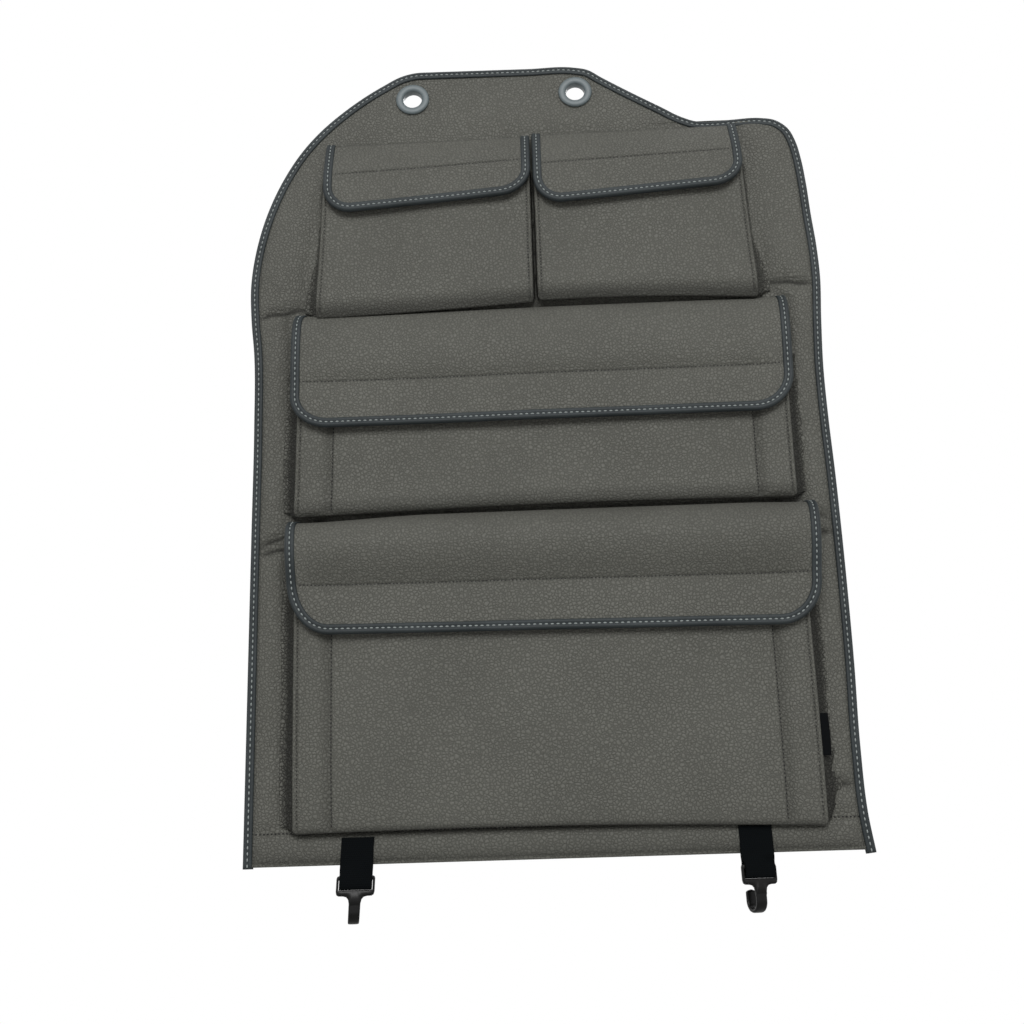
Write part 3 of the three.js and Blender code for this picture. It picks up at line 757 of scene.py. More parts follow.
def straight_row(name, ends, depth, facing):
    """A straight row of dark stitches from one end to the other."""
    row = even_steps(upright(ends, depth), 4)
    sewn = stitch_line(row, np.repeat(facing, len(row), 0), DARK_PITCH)
    stitches(name, *sewn, DARK_STITCH, dark_thread, "leather")


straight_row("hem_stitches", [(-218, 23.2), (218, 23.2)], FACE_FRONT + 0.35, facing_front)
for number, (seam, half) in enumerate(SEAMS_BEHIND.items()):
    straight_row(f"backing_stitches_{number + 1}", [(-half, seam), (half, seam)], -0.2, -facing_front)
print("rows across the panel:", 1 + len(SEAMS_BEHIND))

# %% [markdown]
# ## Pockets
#
# The four pockets are alike: a front sheet that turns under at its bottom, two bellows gussets that close
# its sides, and a bound flap. One description per pocket holds its own sizes, in millimetres. On the wide
# ones the front is sewn through a second time, thirty millimetres in.
#
# The front: top and foot are its left and right edge at the mouth and at the bottom, low the height of its
# lower corners, arch how far its lower edge rises between them, shape its section as depth and height, and
# shade how dark its bottom turn is. The flap: flap_top and flap_bottom are its ends, curl draws the upper
# ends in, slant lowers one end, lift raises the top, corner and tall are the width of its round corners and
# the height of each, crease is the height of its sewn crease, and profile is its fall: the depth in its
# middle, at its ends, and the height.

# %% What each pocket is
UPPER_SHAPE = [
    (-5.2, 8.5), (-8, 5.2), (-12, 1.6), (-14.6, 0.4), (-16.8, 3.8), (-18.3, 9.5), (-19.3, 16.5), (-19.0, 24),
    (-18.0, 35), (-17.1, 47), (-16.7, 60), (-16.5, 95), (-16.2, 126),
]
MIDDLE_SHAPE = [
    (-5.2, 7), (-8.5, 3.6), (-13, 0.5), (-15.6, 0.4), (-17.8, 3.6), (-18.5, 8.5), (-17.9, 16), (-17.0, 27),
    (-16.6, 38), (-16.5, 52), (-15.9, 66), (-15.2, 90), (-15.0, 123),
]
LOWER_SHAPE = [
    (-5.2, 6), (-7.8, 2.6), (-10.2, 0.5), (-12.2, 0.6), (-13.4, 3.0), (-14.2, 9), (-15.4, 25), (-16.8, 60),
    (-17.2, 100), (-16.8, 135), (-16.0, 160), (-15.6, 194),
]
POCKETS = {
    "upper_left_pocket": dict(
        top=(-171, -1.6), foot=(-176, -1.8), low=(420.8, 427.2), arch=-0.6, mouth=547, second=None,
        shape=UPPER_SHAPE, shade=0.7,
        flap_top=(-170, -0.8), flap_bottom=(-171, -0.8), curl=(0, 0), slant=12, lift=0,
        corner=25, tall=(25, 25), crease=549.5,
        profile=[
            (-5.2, -5.2, 581), (-7.5, -7.5, 580), (-12.5, -12, 572), (-17.8, -17, 559), (-20.0, -20, 549.5),
            (-20.4, -20.6, 543), (-21.9, -21.6, 530), (-23.4, -22.5, 515),
        ],
    ),
    "upper_right_pocket": dict(
        top=(1.6, 171), foot=(1.6, 176), low=(428.6, 424.0), arch=2.0, mouth=547, second=None,
        shape=UPPER_SHAPE, shade=0.7,
        flap_top=(0.8, 170), flap_bottom=(0.8, 172), curl=(0, 0), slant=12, lift=0,
        corner=25, tall=(25, 25), crease=551,
        profile=[
            (-5.2, -5.2, 583), (-7.5, -7.5, 582), (-12.5, -12, 574), (-17.8, -17, 561), (-20.0, -20, 551),
            (-20.4, -20.6, 544.5), (-21.9, -21.6, 531.5), (-23.4, -22.5, 515.5),
        ],
    ),
    "middle_pocket": dict(
        top=(-189.5, 193), foot=(-190.5, 191.5), low=(256.5, 258.5), arch=2.6, mouth=378, second=29,
        shape=MIDDLE_SHAPE, shade=0.4,
        flap_top=(-194, 198), flap_bottom=(-194.5, 195.8), curl=(3, 1), slant=0, lift=0,
        corner=31, tall=(27, 31), crease=365.5,
        profile=[
            (-5.2, -5.2, 426.5), (-9, -9, 425.8), (-14.5, -15, 421), (-18.5, -19.3, 413),
            (-21.3, -21.6, 402.5), (-22.9, -22.4, 391), (-23.0, -22.4, 381), (-21.8, -22.1, 372.5),
            (-19.6, -21.6, 365.5), (-20.7, -21.6, 359), (-22.2, -22.0, 346), (-23.4, -22.6, 326.5),
        ],
    ),
    "lower_pocket": dict(
        top=(-189.8, 193), foot=(-188.5, 193.5), low=(21.6, 17), arch=3.0, mouth=214, second=28.5,
        shape=LOWER_SHAPE, shade=0.1,
        flap_top=(-196, 206), flap_bottom=(-193, 201.8), curl=(5, 3), slant=-5, lift=4.8,
        corner=31, tall=(41, 33), crease=201,
        profile=[
            (-5.2, -5.2, 251.5), (-10, -10, 253), (-18, -18.5, 251), (-25.8, -25.5, 245.5),
            (-30.4, -28.6, 238), (-32.2, -29.6, 230), (-30.8, -29.2, 222), (-26.8, -27.6, 213),
            (-22.2, -25.2, 205.5), (-19.8, -24.0, 201), (-21.1, -23.4, 196), (-22.4, -22.9, 187),
            (-23.0, -22.8, 175), (-23.2, -22.8, 162.5),
        ],
    ),
}
SIDE_STITCH = 3.3
CORNER = 4.0
TURNED_UNDER = 15


def front_line(pocket):
    """The front's section as (depth, height above its lower edge), finer where it turns under."""
    line = curve_through(pocket["shape"], 0.8)
    fine = line[line[:, 1] < 26]
    coarse = line[line[:, 1] >= 26][::4]
    return np.vstack([fine, coarse, line[-1:]])


def front_relief(pocket, share, from_side, above):
    """How far a front stands off its section: a pinched edge lies outside a sewn groove at each side, and
    the wide pockets have a soft pillow between that groove and a second one."""
    edge = 0.5 * np.sin(np.pi * np.clip(from_side / 2.7, 0, 1)) - 0.9 * hump(from_side, 0, 0.7)
    relief = edge - 0.55 * hump(from_side, SIDE_STITCH, 0.7)
    relief = relief + 0.4 * np.sin(7 * share + above / 29) * rise(from_side, 8, 40)
    if pocket["second"]:
        outside = pocket["second"] - from_side
        between = np.clip((from_side - SIDE_STITCH) / (pocket["second"] - SIDE_STITCH), 0, 1)
        pillow = 0.9 * np.sin(np.pi * between)
        dip = np.where(outside > 0, hump(outside, 2.0, 5.0), hump(outside, 2.0, 2.2))
        relief = relief + pillow - 1.9 * dip
    return relief


def front_sides(pocket, z):
    """The left and right edge of a front at a height."""
    up = np.clip((z - min(pocket["low"])) / (pocket["mouth"] - min(pocket["low"])), 0, 1)
    return [foot + (top - foot) * up for foot, top in zip(pocket["foot"], pocket["top"])]


def lower_edge(pocket, share):
    """The height of a front's lower edge: a straight line between its ends with a slight arch."""
    left, right = pocket["low"]
    return left + (right - left) * share + pocket["arch"] * np.sin(np.pi * share)


def pocket_front(name, pocket):
    """The front: columns span its width, and rows follow its section from the seam, under the bottom and
    up."""
    section = front_line(pocket)
    depth, up = section[:, :1], section[:, 1:]
    lowest = int(np.argmin(up))
    under = (np.arange(len(up)) < lowest)[:, None]
    width = pocket["top"][1] - pocket["top"][0]
    edge = np.r_[0, 0.35, 0.8, 1.3, 1.9, 2.4, 2.8, 3.1, 3.4, 3.8, 4.3, 5.2, 7, 10, 14, 18, 22]
    if pocket["second"]:
        edge = np.r_[edge, pocket["second"] + np.r_[-5, -3.5, -2.5, -1.7, -1, -0.4, 0.2, 0.8, 1.5, 2.5, 4]]
    inner = np.linspace(edge[-1], width - edge[-1], int(width / 6))[1:-1]
    share = (np.r_[edge, inner, width - edge[::-1]] / width)[None, :]
    from_side = np.minimum(share, 1 - share) * width
    low = lower_edge(pocket, share)
    z = low + up * (pocket["mouth"] - low) / up[-1]
    turned = np.where(under, 0.0, np.minimum(up, CORNER))
    pull = CORNER - np.sqrt(CORNER**2 - (CORNER - turned) ** 2)
    left, right = front_sides(pocket, z)
    x = (left + pull) * (1 - share) + (right - pull) * share
    on_front = np.where(under, 0.0, rise(up, 0, 5))
    y = depth - on_front * front_relief(pocket, share, from_side, up)
    # Painted shade: the turned-under bottom, a line along each side seam, the bottom turn by the pocket's
    # shade, and a band outside each second seam are darker.
    shade_paint = (1 - on_front) * 0.75 + on_front * 0.2 * hump(from_side, SIDE_STITCH, 0.9)
    shade_paint = shade_paint + on_front * pocket["shade"] * (1 - rise(up, 4, 16))
    if pocket["second"]:
        outside = pocket["second"] - from_side
        shade_paint = shade_paint + on_front * np.where(outside > -1.0, 0.3 * hump(outside, 2.2, 4.0), 0)
    points = np.stack([x, y, z], -1)
    piece = mesh_piece(name + "_leather", points, grid_faces(*z.shape), smooth_leather,
                       [name + "_front"], crease=shade_paint)
    height = pocket["mouth"] - min(pocket["low"])
    thicken(piece, LEATHER_THICKNESS)
    width * MILLIMETRE
    (height + TURNED_UNDER) * MILLIMETRE


def depth_above(pocket, above):
    """The section's depth at a height above the lower edge, on its front side."""
    section = front_line(pocket)
    section = section[int(np.argmin(section[:, 1])):]
    return np.interp(above, section[:, 1], section[:, 0])


def front_stitches(name, pocket):
    """Dark stitches down both sides of a front, and down its second seams."""
    width = pocket["top"][1] - pocket["top"][0]
    rows = []
    for inset in [SIDE_STITCH] + ([pocket["second"]] if pocket["second"] else []):
        for share in (inset / width, 1 - inset / width):
            low = lower_edge(pocket, share)
            above = np.arange(4.0, pocket["mouth"] - low, 2.0)
            left, right = front_sides(pocket, low + above)
            y = depth_above(pocket, above) - front_relief(pocket, share, inset, above) + 0.05
            line = np.stack([left + (right - left) * share, y, low + above], -1)
            rows.append(stitch_line(line, np.repeat(facing_front, len(above), 0), DARK_PITCH))
    joined = [np.vstack(parts) for parts in zip(*rows)]
    stitches(name + "_front_stitches", *joined, DARK_STITCH, dark_thread, "leather")


for name, pocket in POCKETS.items():
    pocket_front(name, pocket)
    front_stitches(name, pocket)
print("fronts:", len(POCKETS))

# %% [markdown]
# ## Gussets
#
# A gusset is a narrow strip of the same leather, gathered and so coarser. It is sewn to the panel about
# eleven millimetres outside the pocket, creases in behind the front's edge, and lies flat behind the front.
# Beside the upper pockets it narrows upwards, between them there is hardly room for it, and at the lower
# pocket's right edge it gapes three millimetres further and its foot slants. Its colour is painted darker
# as shade, most of all where it goes in behind the front.

# %% The gussets
GUSSET_THICKNESS = 0.7
GUSSET_REACH = 11.0


def gusset(name, pocket, side):
    """Columns follow the strip's line across its folds, and rows climb from the bottom to the mouth. The
    strip starts above the front's underside, whatever its depth there."""
    end = 0 if side < 0 else 1
    low = lower_edge(pocket, float(end))
    across = np.linspace(0, 1, 26)[None, :]
    tail = np.linspace(2.5, 10, 6)[None, :]
    climb = np.linspace(0, 1, 74)[:, None]
    section = front_line(pocket)
    underside = section[: int(np.argmin(section[:, 1])) + 1]
    height = pocket["mouth"] - low
    above = 2.0 + climb * (height - 2.0)
    beside_neighbour = (name, side) in (("upper_left_pocket", 1), ("upper_right_pocket", -1))
    gapes = (name, side) == ("lower_pocket", 1)
    is_upper = name.startswith("upper")
    gape = gapes * hump(above, 20, 30)
    reach = GUSSET_REACH - 7.5 * is_upper * rise(above, 8, 60) + 0.6 * np.sin(above / 17 + side) + gape * 3.0
    reach = 1.2 if beside_neighbour else reach
    front = depth_above(pocket, above) + 1.4
    outer_x = reach * (1 - across) - 2.5 * rise(across, 0.7, 1.0)
    outer_y = -5.8 + (front + 5.8) * across**2.2
    y = np.hstack([outer_y, front + 0.6 * rise(tail, 2.5, 6)])
    bowl = np.r_[np.sin(np.pi * across[0]) ** 0.7, np.zeros(6)][None, :]
    gather = 1.0 + gapes * 1.6 * hump(above, 20, 30)
    slant = np.r_[across[0] * 4, np.full(6, 4.0)][None, :]
    y = y - bowl * gather * (0.3 * np.sin(above / 1.9 + slant) + 0.3 * np.sin(above / 4.3 - slant))
    starts = np.interp(-y[:1], -underside[:, 0], underside[:, 1]) + 1.1
    starts = starts + gapes * 24.0 * np.r_[(1 - across[0]) ** 1.5, np.zeros(6)][None, :]
    above = starts + (above - 2.0) / (height - 2.0) * (height - starts)
    edge = front_sides(pocket, low + above)[end]
    x = edge + side * np.hstack([outer_x + 0 * outer_y, -tail + 0 * outer_y[:, :1]])
    points = np.stack([x, y, low + above], -1)
    faces = grid_faces(*x.shape)
    faces = faces if side < 0 else faces[:, ::-1]
    # Painted shade: darker from the seam on the panel inwards, and darkest on the tail behind the front.
    darkest_shade = 0.5 if is_upper else 0.8
    shade_paint = np.hstack([darkest_shade * rise(across, 0.05, 0.6) + 0 * outer_y, 0.85 + 0 * outer_y[:, :6]])
    label = "left" if side < 0 else "right"
    piece = mesh_piece(f"{name}_gusset_{label}_leather", points, faces, gathered_leather,
                       [f"{name}_gusset_{label}"], crease=shade_paint)
    thicken(piece, GUSSET_THICKNESS)
    height * MILLIMETRE


for name, pocket in POCKETS.items():
    for side in (-1, 1):
        gusset(name, pocket, side)
print("gussets:", 2 * len(POCKETS))

# %% [markdown]
# ## Flaps
#
# A flap comes out of the panel's seam, swells over the pocket's mouth and is sewn flat along a crease. A
# point on it is given by how far it is across and how far down its line of fall, so the same function gives
# the sheet, its binding and its stitches.

# %% The flap's surface
FALL_STEP = 0.6


class Flap:
    """A flap's surface: at(x, down) lies at that length down its line of fall. The line bulges more in the
    middle of the flap than at its ends, where the tape is stiff, and the flap hangs lower at one end by its
    slant."""

    def __init__(self, pocket):
        self.pocket = pocket
        self.line = curve_through(pocket["profile"], FALL_STEP)
        self.fall = FALL_STEP * (len(self.line) - 1)
        self.steps = np.linspace(0, self.fall, len(self.line))
        past = self.line[:, 2] < pocket["crease"] + 8
        self.crease = float(np.interp(-pocket["crease"], -self.line[past, 2], self.steps[past]))

    def sides(self, down):
        """The left and right ends at a length down the fall; at the very top they curl in."""
        share = down / self.fall
        curl = np.clip(1 - down / 20, 0, 1) ** 2
        (left, right), (left_foot, right_foot) = self.pocket["flap_top"], self.pocket["flap_bottom"]
        left_curl, right_curl = self.pocket["curl"]
        return [
            left + (left_foot - left) * share + left_curl * curl,
            right + (right_foot - right) * share - right_curl * curl,
        ]

    def at(self, x, down):
        """The point, with a groove along the crease and slow waves."""
        in_middle, at_end, z = (np.interp(down, self.steps, column) for column in self.line.T)
        left, right = self.sides(down)
        inward = rise(np.minimum(x - left, right - x), 3, 30)
        share = down / self.fall
        z = z + self.pocket["slant"] * (2 * x - left - right) / (2 * (right - left)) * share
        across = (x - left) / (right - left)
        raised = rise(across, 0.02, 0.28) * (1 - 0.3 * rise(across, 0.85, 1))
        z = z + self.pocket["lift"] * raised * (1 - share) ** 3
        waves = 0.5 * np.sin(x / 41 + 1) * np.sin(np.pi * share) + 0.3 * np.sin(x / 23 + 2) * share
        groove = 0.6 * hump(down, self.crease, 0.9)
        y = at_end + inward * (in_middle - at_end + groove) - waves
        return np.stack(np.broadcast_arrays(x, y, z), -1)

    def frame(self, x, down):
        """The point with its directions across, down and outward."""
        step = 0.2
        across = unit(self.at(x + step, down) - self.at(x - step, down))
        fall = unit(self.at(x, down + step) - self.at(x, down - step))
        return self.at(x, down), across, fall, unit(np.cross(across, -fall))


SHEET_INSET = 1.2
FLAP_THICKNESS = 2.0
FLAP_TAPE_SECTION = [
    (7.5, 0.1), (7.3, 0.7), (6.4, 1.15), (5.2, 1.1), (4.4, 0.8), (3.9, 0.5), (3.3, 0.95), (2.3, 1.45),
    (1.3, 1.35), (0.5, 0.6), (0.05, -0.4), (0.05, -1.6), (0.5, -2.6), (1.6, -3.2), (3.9, -3.0),
    (7.2, -3.15), (7.5, -2.6), (7.3, -2.2), (1.1, -2.2), (1.1, 0.05),
]
FLAP_STITCH = 3.9


def flap_sheet(name, flap):
    """Rows go up the flap from its bottom edge, and the round corners pull their ends in."""
    corner, tallest = flap.pocket["corner"], max(flap.pocket["tall"])
    down = np.unique(np.r_[
        np.arange(0, flap.fall - tallest, 1.8), flap.crease + np.arange(-3, 3.1, 0.5),
        flap.fall - tallest + tallest * np.sin(np.linspace(0, np.pi / 2, 34)),
    ])
    down = np.unique(np.minimum(down, flap.fall - SHEET_INSET))[::-1]
    pulls = [
        corner - corner * np.sqrt(1 - np.clip((down - flap.fall + tall) / tall, 0, 0.9999) ** 2) + SHEET_INSET
        for tall in flap.pocket["tall"]
    ]
    left, right = flap.sides(down)
    share = np.linspace(0, 1, 100)[None, :]
    x = (left + pulls[0])[:, None] * (1 - share) + (right - pulls[1])[:, None] * share
    points = flap.at(x, np.broadcast_to(down[:, None], x.shape))
    # Painted shade: darker along the sewn crease and where the flap comes out from under the pocket above.
    shade_paint = (0.3 * hump(down, flap.crease, 1.2) + 0.9 * (1 - rise(down, 1, 8)))[:, None] + 0 * x
    piece = mesh_piece(name + "_flap_leather", points, grid_faces(*x.shape), smooth_leather,
                       [name + "_flap"], crease=shade_paint)
    width = flap.pocket["flap_top"][1] - flap.pocket["flap_top"][0]
    thicken(piece, FLAP_THICKNESS)
    width * MILLIMETRE


def flap_edge(flap):
    """The flap's free edge as (x, down), from its top left corner round to its top right corner."""
    corner = flap.pocket["corner"]
    turn = np.linspace(0, np.pi / 2, 40)
    ends = []
    for end, side in enumerate((-1, 1)):
        tall = flap.pocket["tall"][end]
        down = np.r_[np.linspace(0.6, flap.fall - tall - 1, 24), flap.fall - tall + tall * np.sin(turn)]
        pull = np.r_[np.zeros(24), corner - corner * np.cos(turn)]
        ends.append(np.stack([flap.sides(down)[end] - side * pull, down], -1))
    return even_steps(np.vstack([ends[0], ends[1][::-1]]), 2.4)


def flap_binding(name, flap):
    """The tape round the free edge, and the pale stitches in its valley."""
    edge = flap_edge(flap)
    heading = unit(np.gradient(edge, axis=0))
    place, across, fall, outward = flap.frame(edge[:, 0], edge[:, 1])
    inward = unit(heading[:, 1:] * across - heading[:, :1] * fall)
    sweep(name + "_flap_tape", place, inward, outward, FLAP_TAPE_SECTION, tape,
          [name + "_flap_binding"])
    sewn = place + FLAP_STITCH * inward + 0.85 * outward
    stitches(name + "_flap_tape_stitches", *stitch_line(sewn, outward, PALE_PITCH), PALE_STITCH, pale_thread,
             "binding")


def crease_stitches(name, flap):
    """Dark stitches along the crease, from one binding to the other."""
    left, right = flap.sides(np.array([flap.crease]))
    x = np.linspace(left[0] + 9, right[0] - 9, 120)
    place, _, _, outward = flap.frame(x, np.full(120, flap.crease))
    stitches(name + "_crease_stitches", *stitch_line(place - 0.1 * outward, outward, DARK_PITCH), DARK_STITCH,
             dark_thread, "leather")


for name, pocket in POCKETS.items():
    flap = Flap(pocket)
    flap_sheet(name, flap)
    flap_binding(name, flap)
    crease_stitches(name, flap)
print("flaps:", len(POCKETS))

# %% [markdown]
# ## Fastener tapes
#
# Each flap closes with a tape of hooks on a tape of loops. They are out of sight, so each is one sheet, as
# large as its solid, that follows the front or the inside of the flap.

# %% The fastener tapes


def node_span(node):
    """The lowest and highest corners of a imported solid, in the panel's millimetres."""
    return [(np.array(corner) - PANEL_ORIGIN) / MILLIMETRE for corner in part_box(node)]


for name, pocket in POCKETS.items():
    for kind in ("loop", "hook"):
        lowest, highest = node_span(f"{name}_{kind}_tape")
        x, z = np.meshgrid(np.linspace(lowest[0], highest[0], 60), np.linspace(lowest[2], highest[2], 12))
        if kind == "loop":
            y = depth_above(pocket, z - min(pocket["low"])) - 1.0
        else:
            flap = Flap(pocket)
            fall = np.interp(-z, -flap.line[:, 2], flap.steps)
            y = flap.at(x, fall)[..., 1] + 2.4
        points = np.stack([x, y, z], -1)
        tape_sheet = mesh_piece(f"{name}_{kind}_fastener", points, grid_faces(*x.shape), fleece,
                                [f"{name}_{kind}_tape"])
        thicken(tape_sheet, 0.8)
print("fastener tapes:", 2 * len(POCKETS))

# %% [markdown]
# ## Eyelets
#
# An eyelet is turned about its own axis: a rounded flange in front with a soft crown and a barrel through the
# panel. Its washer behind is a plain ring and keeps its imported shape.

# %% The eyelets
EYELET_SECTION = [
    (7.75, 0.0), (9.25, 0.0), (9.25, -2.4), (9.25, -4.8), (11.5, -4.9), (13.6, -4.9), (14.0, -5.2),
    (14.0, -5.8), (13.7, -6.4), (13.0, -6.9), (12.0, -7.15), (10.9, -7.2), (9.8, -7.1), (8.9, -6.8),
    (8.2, -6.3), (7.85, -5.6), (7.75, -4.8), (7.75, -2.4),
]


def turned(name, centre, section, finish, slot, replaces):
    """A ring: section point k at angle a lies at its radius times (cos a, sin a) from the centre, at its
    depth."""
    section = np.asarray(section, float)
    angle = np.linspace(0, 2 * np.pi, 96, endpoint=False)[:, None]
    radius, depth = section.T
    points = np.stack([
        centre[0] + radius * np.cos(angle), depth + 0 * angle, centre[1] + radius * np.sin(angle)
    ], -1)
    faces = grid_faces(*points.shape[:2], round_columns=True, round_rows=True)
    return faces_outwards(mesh_piece(name, points, faces, finish, replaces))


for side, eyelet in zip(("left", "right"), EYELETS):
    turned(f"eyelet_{side}_ring", eyelet, EYELET_SECTION, eyelet_plastic, "eyelet", [f"eyelet_{side}"])
print("eyelets:", len(EYELETS))

# %% [markdown]
# ## Straps and hooks
#
# A strap is one length of webbing whose two ends are sewn under the lower pocket, with the hook's bar in
# its loop. Both turn on their way down, the right one more, so that its hook is seen partly from the side,
# and the left one leans. Everything on a strap is worked out upright first, and then one function turns and
# leans it.

# %% The straps
STRAP_MIDDLE = -6.55
STRAP_WIDTH = 23.5
STRAP_STEP = 0.8
STRAP_LINE = [
    (-5.65, 19), (-5.65, 8), (-5.5, -2), (-4.2, -7.5), (-3.95, -10), (-4.0, -13.6), (-4.9, -15.9),
    (-6.55, -16.7), (-8.2, -15.9), (-9.1, -13.6), (-9.15, -10), (-8.7, -6.5), (-7.75, -1), (-7.4, 8),
    (-7.4, 19),
]
STRAPS = {"left": dict(x=-142.0, turn=9.0, lean=0.055), "right": dict(x=142.0, turn=22.0, lean=-0.02)}


def hang(points, strap):
    """Turns points about the strap's upright axis, by more the lower they are, and leans them below the
    panel."""
    x, y, z = np.moveaxis(np.asarray(points, float), -1, 0)
    turn = np.radians(strap["turn"]) * rise(-z, 0, 7)
    depth = y - STRAP_MIDDLE
    return np.stack([
        strap["x"] + x * np.cos(turn) - depth * np.sin(turn) + strap["lean"] * (z - 19),
        STRAP_MIDDLE + x * np.sin(turn) + depth * np.cos(turn), z,
    ], -1)


def webbing_strap(side, strap):
    """A sheet: rows follow the strap's line, columns span its width, and its edges wave a little."""
    line = curve_through(STRAP_LINE, STRAP_STEP)
    x = np.linspace(-STRAP_WIDTH / 2, STRAP_WIDTH / 2, 20)
    wave = 0.25 * np.sin(np.arange(len(line)) / 9.0)[:, None] * (x / STRAP_WIDTH) ** 2
    points = np.stack(np.broadcast_arrays(x, line[:, :1] + wave, line[:, 1:]), -1)
    along = STRAP_STEP * np.arange(len(line))[:, None] * MILLIMETRE
    lay = np.stack(np.broadcast_arrays(x * MILLIMETRE, along), -1)
    faces = grid_faces(len(line), len(x))[:, ::-1]
    piece = mesh_piece(f"webbing_{side}", hang(points, strap), faces, webbing, [f"strap_{side}"],
                       uv=lay)
    wall = thicken(piece, 1.4).modifiers["thickness"]
    wall.offset = 0


for side, strap in STRAPS.items():
    webbing_strap(side, strap)
print("straps:", len(STRAPS))

# %% The hooks
FRAME_OUTER = [
    (0, -7.4), (11.5, -7.4), (13.2, -8.0), (13.75, -9.5), (13.75, -18.5), (13.2, -20.6), (11.8, -21.5),
    (8.5, -21.6), (6.2, -22.2), (4.8, -23.8), (4.2, -26.5), (4.1, -28.5), (0, -28.5),
]
SLOT_HALF_WIDTH, SLOT_TOP, SLOT_FOOT, FRAME_MIDDLE = 12.1, -10.6, -17.4, -14.0


def ring_by_angle(corners, angle):
    """The distance from the frame's middle to a closed line of corners, in the directions of the angles."""
    corners = np.asarray(corners, float) - [0, FRAME_MIDDLE]
    fine = np.linspace(0, len(corners) - 1, 4000)
    across, up = [np.interp(fine, np.arange(len(corners)), column) for column in corners.T]
    return np.interp(angle, np.arctan2(across, up), np.hypot(across, up))


def hook_frame():
    """The frame: at each angle a flat section from the slot out to the edge, with rounded edges."""
    angle = np.linspace(0, np.pi, 150)
    slot = [(0, SLOT_TOP), (SLOT_HALF_WIDTH, SLOT_TOP), (SLOT_HALF_WIDTH, SLOT_FOOT), (0, SLOT_FOOT)]
    inner, outer = ring_by_angle(slot, angle), ring_by_angle(FRAME_OUTER, angle)
    inner, outer = np.r_[inner, inner[-2:0:-1]], np.r_[outer, outer[-2:0:-1]]
    angle = np.r_[angle, 2 * np.pi - angle[-2:0:-1]]
    section = [(0, 0.35, -1.5), (0, 0, -1.1), (0, 0, 1.1), (0, 0.35, 1.5), (1, -0.7, 1.5), (1, -0.2, 1.2),
               (1, 0, 0.7), (1, 0, -0.7), (1, -0.2, -1.2), (1, -0.7, -1.5)]
    rings = []
    for edge, shift, level in section:
        radius = (outer if edge else inner) + shift
        flat_ring = np.stack([radius * np.sin(angle), FRAME_MIDDLE + radius * np.cos(angle)], -1)
        rings.append(upright(flat_ring, STRAP_MIDDLE + level))
    return np.stack(rings, 1)


def hook_bend():
    """The hook: an oval section carried down from the neck, round the bend and up to the tip, which is
    rounded."""
    turn = np.linspace(np.pi, 2 * np.pi, 40)
    line = np.vstack([
        [(0.0, -24.0), (0.0, -27.5), (0.0, -30.0)],
        np.stack([7 + 7 * np.cos(turn), -32.5 + 7 * np.sin(turn)], -1),
        [(14.0, -30.0), (14.0, -27.5), (13.8, -25.6), (13.7, -25.0)],
    ])
    line = even_steps(np.hstack([line, np.zeros((len(line), 1))]), 0.6)[:, :2]
    heading = unit(np.gradient(line, axis=0))
    aside = np.stack([-heading[:, 1], heading[:, 0]], -1)
    share = np.linspace(0, 1, len(line))
    narrow = np.sqrt(np.clip(1 - ((share - 0.94) / 0.06).clip(0) ** 2, 0.04, 1)) * (1 - 0.08 * share)
    around = np.linspace(0, 2 * np.pi, 20, endpoint=False)
    wide = 4.2 * np.sign(np.cos(around)) * np.abs(np.cos(around)) ** 0.35
    thick = 1.5 * np.sign(np.sin(around)) * np.abs(np.sin(around)) ** 0.6
    x = wide[None, :] * narrow[:, None]
    y = STRAP_MIDDLE + line[:, :1] + thick[None, :] * aside[:, :1] * narrow[:, None]
    z = line[:, 1:] + thick[None, :] * aside[:, 1:] * narrow[:, None]
    return np.stack([x, y, z], -1)


def hook(side, strap):
    """The frame and the bend as one piece."""
    plate, bend = hook_frame(), hook_bend()
    first = grid_faces(*plate.shape[:2], round_columns=True, round_rows=True).tolist()
    second = [[v + plate[..., 0].size for v in face] for face in tube_faces(*bend.shape[:2])]
    points = hang(np.vstack([plate.reshape(-1, 3), bend.reshape(-1, 3)]), strap)
    return faces_outwards(mesh_piece(f"hook_{side}", points, first + second, hook_plastic,
                                     [f"strap_hook_{side}"]))


for side, strap in STRAPS.items():
    hook(side, strap)
print("hooks:", len(STRAPS))

# %% [markdown]
# ## The label
#
# A folded woven tab is caught in the lower pocket's right edge. It is bare.

# %% The label tab
lowest, highest = node_span("label_tab")
LABEL_ROWS = 26
label_rows = np.linspace(lowest[2], highest[2], LABEL_ROWS)
label_line = np.stack([
    0.5 * np.sin((label_rows - lowest[2]) / 11) + 194.0, 0.3 * np.sin(label_rows / 7) - 14.6, label_rows
], -1)
LABEL_SECTION = [
    (-3, 0.4), (0, 0.42), (2, 0.45), (4, 0.5), (4.9, 0.4), (5.3, 0.0), (4.9, -0.4), (4, -0.5), (2, -0.45),
    (0, -0.42), (-3, -0.4),
]
label_inward, label_outward = (np.repeat(way, LABEL_ROWS, 0) for way in ([[1.0, 0, 0]], facing_front))
label = sweep("label_folded", label_line, label_inward, label_outward, LABEL_SECTION, label_cloth,
              ["label_tab"])
print("the label is", round(highest[2] - lowest[2]), "mm high")

# %% [markdown]
# ## Finishes for the solids that stay
#
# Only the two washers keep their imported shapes.

# %% The solids' finishes
for side in ("left", "right"):
    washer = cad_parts[f"eyelet_washer_{side}"]
    washer.data.materials.clear()
    washer.data.materials.append(eyelet_plastic)
print("washers have their finish")

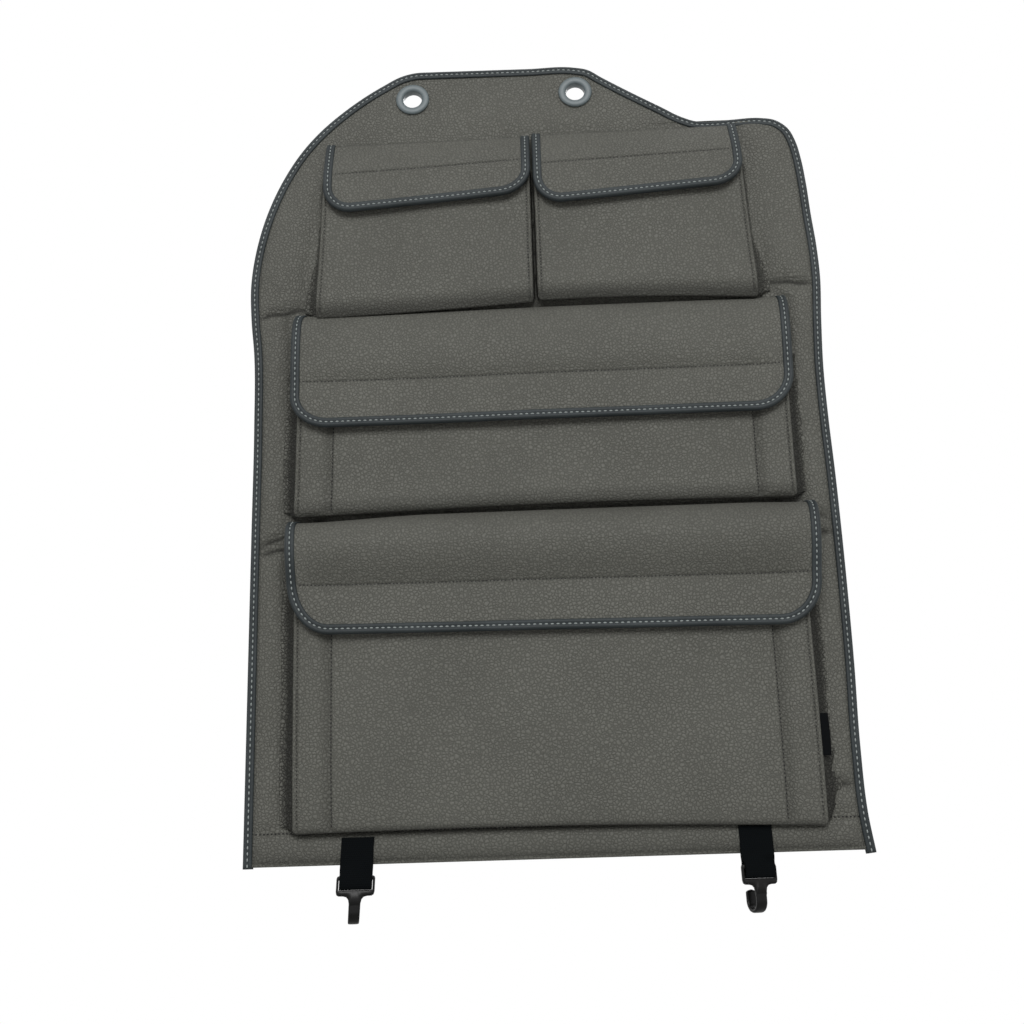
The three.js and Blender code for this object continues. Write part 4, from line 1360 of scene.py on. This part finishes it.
# %% [markdown]
# ## Camera, light and floor
#
# The photograph looks up at the panel from a little below its lower edge. The camera's place and lens were
# fitted to the panel's straight edges. The light is one broad soft lamp above and in front, and a weaker
# one behind for the views of the back, over an even grey sky. The camera sees that sky as white.

# %% The camera
FOCAL_PIXELS = 1300.0
IMAGE_PIXELS = 1024.0
CAMERA_AT = (5.5, -965.8, -9.3)
CAMERA_FORWARD = Vector((-0.0300, 0.9630, 0.2679))
CAMERA_UP = Vector((0.0379, -0.2667, 0.9630))

lens = bpy.data.cameras.new("camera")
lens.sensor_width = 36.0
lens.lens = lens.sensor_width * FOCAL_PIXELS / IMAGE_PIXELS
camera = bpy.data.objects.new("camera", lens)
bpy.context.scene.collection.objects.link(camera)
forward = CAMERA_FORWARD.normalized()
right_hand = forward.cross(CAMERA_UP).normalized()
up = right_hand.cross(forward)
turned_to_view = Matrix((right_hand, up, -forward)).transposed().to_4x4()
camera.matrix_world = Matrix.Translation(Vector(metres(CAMERA_AT))) @ turned_to_view
bpy.context.scene.camera = camera
print("lens", round(lens.lens, 1), "mm")

# %% The sky, the lamp and the floor
sky = Finish("sky", bpy.data.worlds)
bpy.context.scene.world = sky.owner
rays = {
    kind: sky.add("ShaderNodeLightPath", output=f"Is {kind} Ray")
    for kind in ("Camera", "Glossy", "Transmission")
}
seen = rays["Camera"].maths("MAXIMUM", rays["Camera"], rays["Glossy"])
seen = seen.maths("MAXIMUM", seen, rays["Transmission"])
grey = sky.add("ShaderNodeBackground", None, {"Color": (1.0, 1.0, 1.0, 1.0), "Strength": 0.18})
white = sky.add("ShaderNodeBackground", None, {"Color": (1.0, 1.0, 1.0, 1.0), "Strength": 1.0})
sky.close(sky.add("ShaderNodeMixShader", None, {0: seen, 1: grey, 2: white}), "ShaderNodeOutputWorld")


def lamp(name, place, target, size, power):
    """A rectangular soft lamp that points at a target."""
    light = bpy.data.lights.new(name, "AREA")
    light.shape = "RECTANGLE"
    light.size, light.size_y = size
    light.energy = power
    holder = bpy.data.objects.new(name, light)
    bpy.context.scene.collection.objects.link(holder)
    direction = (Vector(target) - Vector(place)).to_track_quat("-Z", "Y")
    holder.location = place
    holder.rotation_euler = direction.to_euler()
    return holder


PANEL_MIDDLE = (0.03, 0.0, -0.3)
lamp("soft lamp above", (0.15, -3.4, 1.5), PANEL_MIDDLE, (3.0, 2.0), 110.0)
lamp("soft lamp behind", (0.6, 2.8, 1.8), PANEL_MIDDLE, (2.4, 1.8), 70.0)

floor_finish = Finish("pale floor")
floor_place = floor_finish.place()
speckle = floor_finish.noise(floor_place, 40.0, 3.0)
floor_colour = floor_finish.mix(speckle, paint(212, 212, 210), paint(224, 224, 222))
floor_paint = floor_finish.shade(floor_colour, 0.7 + 0.1 * speckle, speckle, 0.0002)
FLOOR_LEVEL, FLOOR_SIDE, FLOOR_BACK = -0.95, 2.5, 1.6
floor_mesh = bpy.data.meshes.new("floor")
floor_corners = [(-FLOOR_SIDE, -FLOOR_SIDE), (FLOOR_SIDE, -FLOOR_SIDE), (FLOOR_SIDE, FLOOR_BACK),
                 (-FLOOR_SIDE, FLOOR_BACK)]
floor_mesh.from_pydata([(x, y, FLOOR_LEVEL) for x, y in floor_corners], [], [(0, 1, 2, 3)])
floor_mesh.materials.append(floor_paint)
floor = bpy.data.objects.new("floor", floor_mesh)
bpy.context.scene.collection.objects.link(floor)
bpy.context.scene.view_settings.view_transform = "Standard"
print("camera, sky, lamps and floor are set")
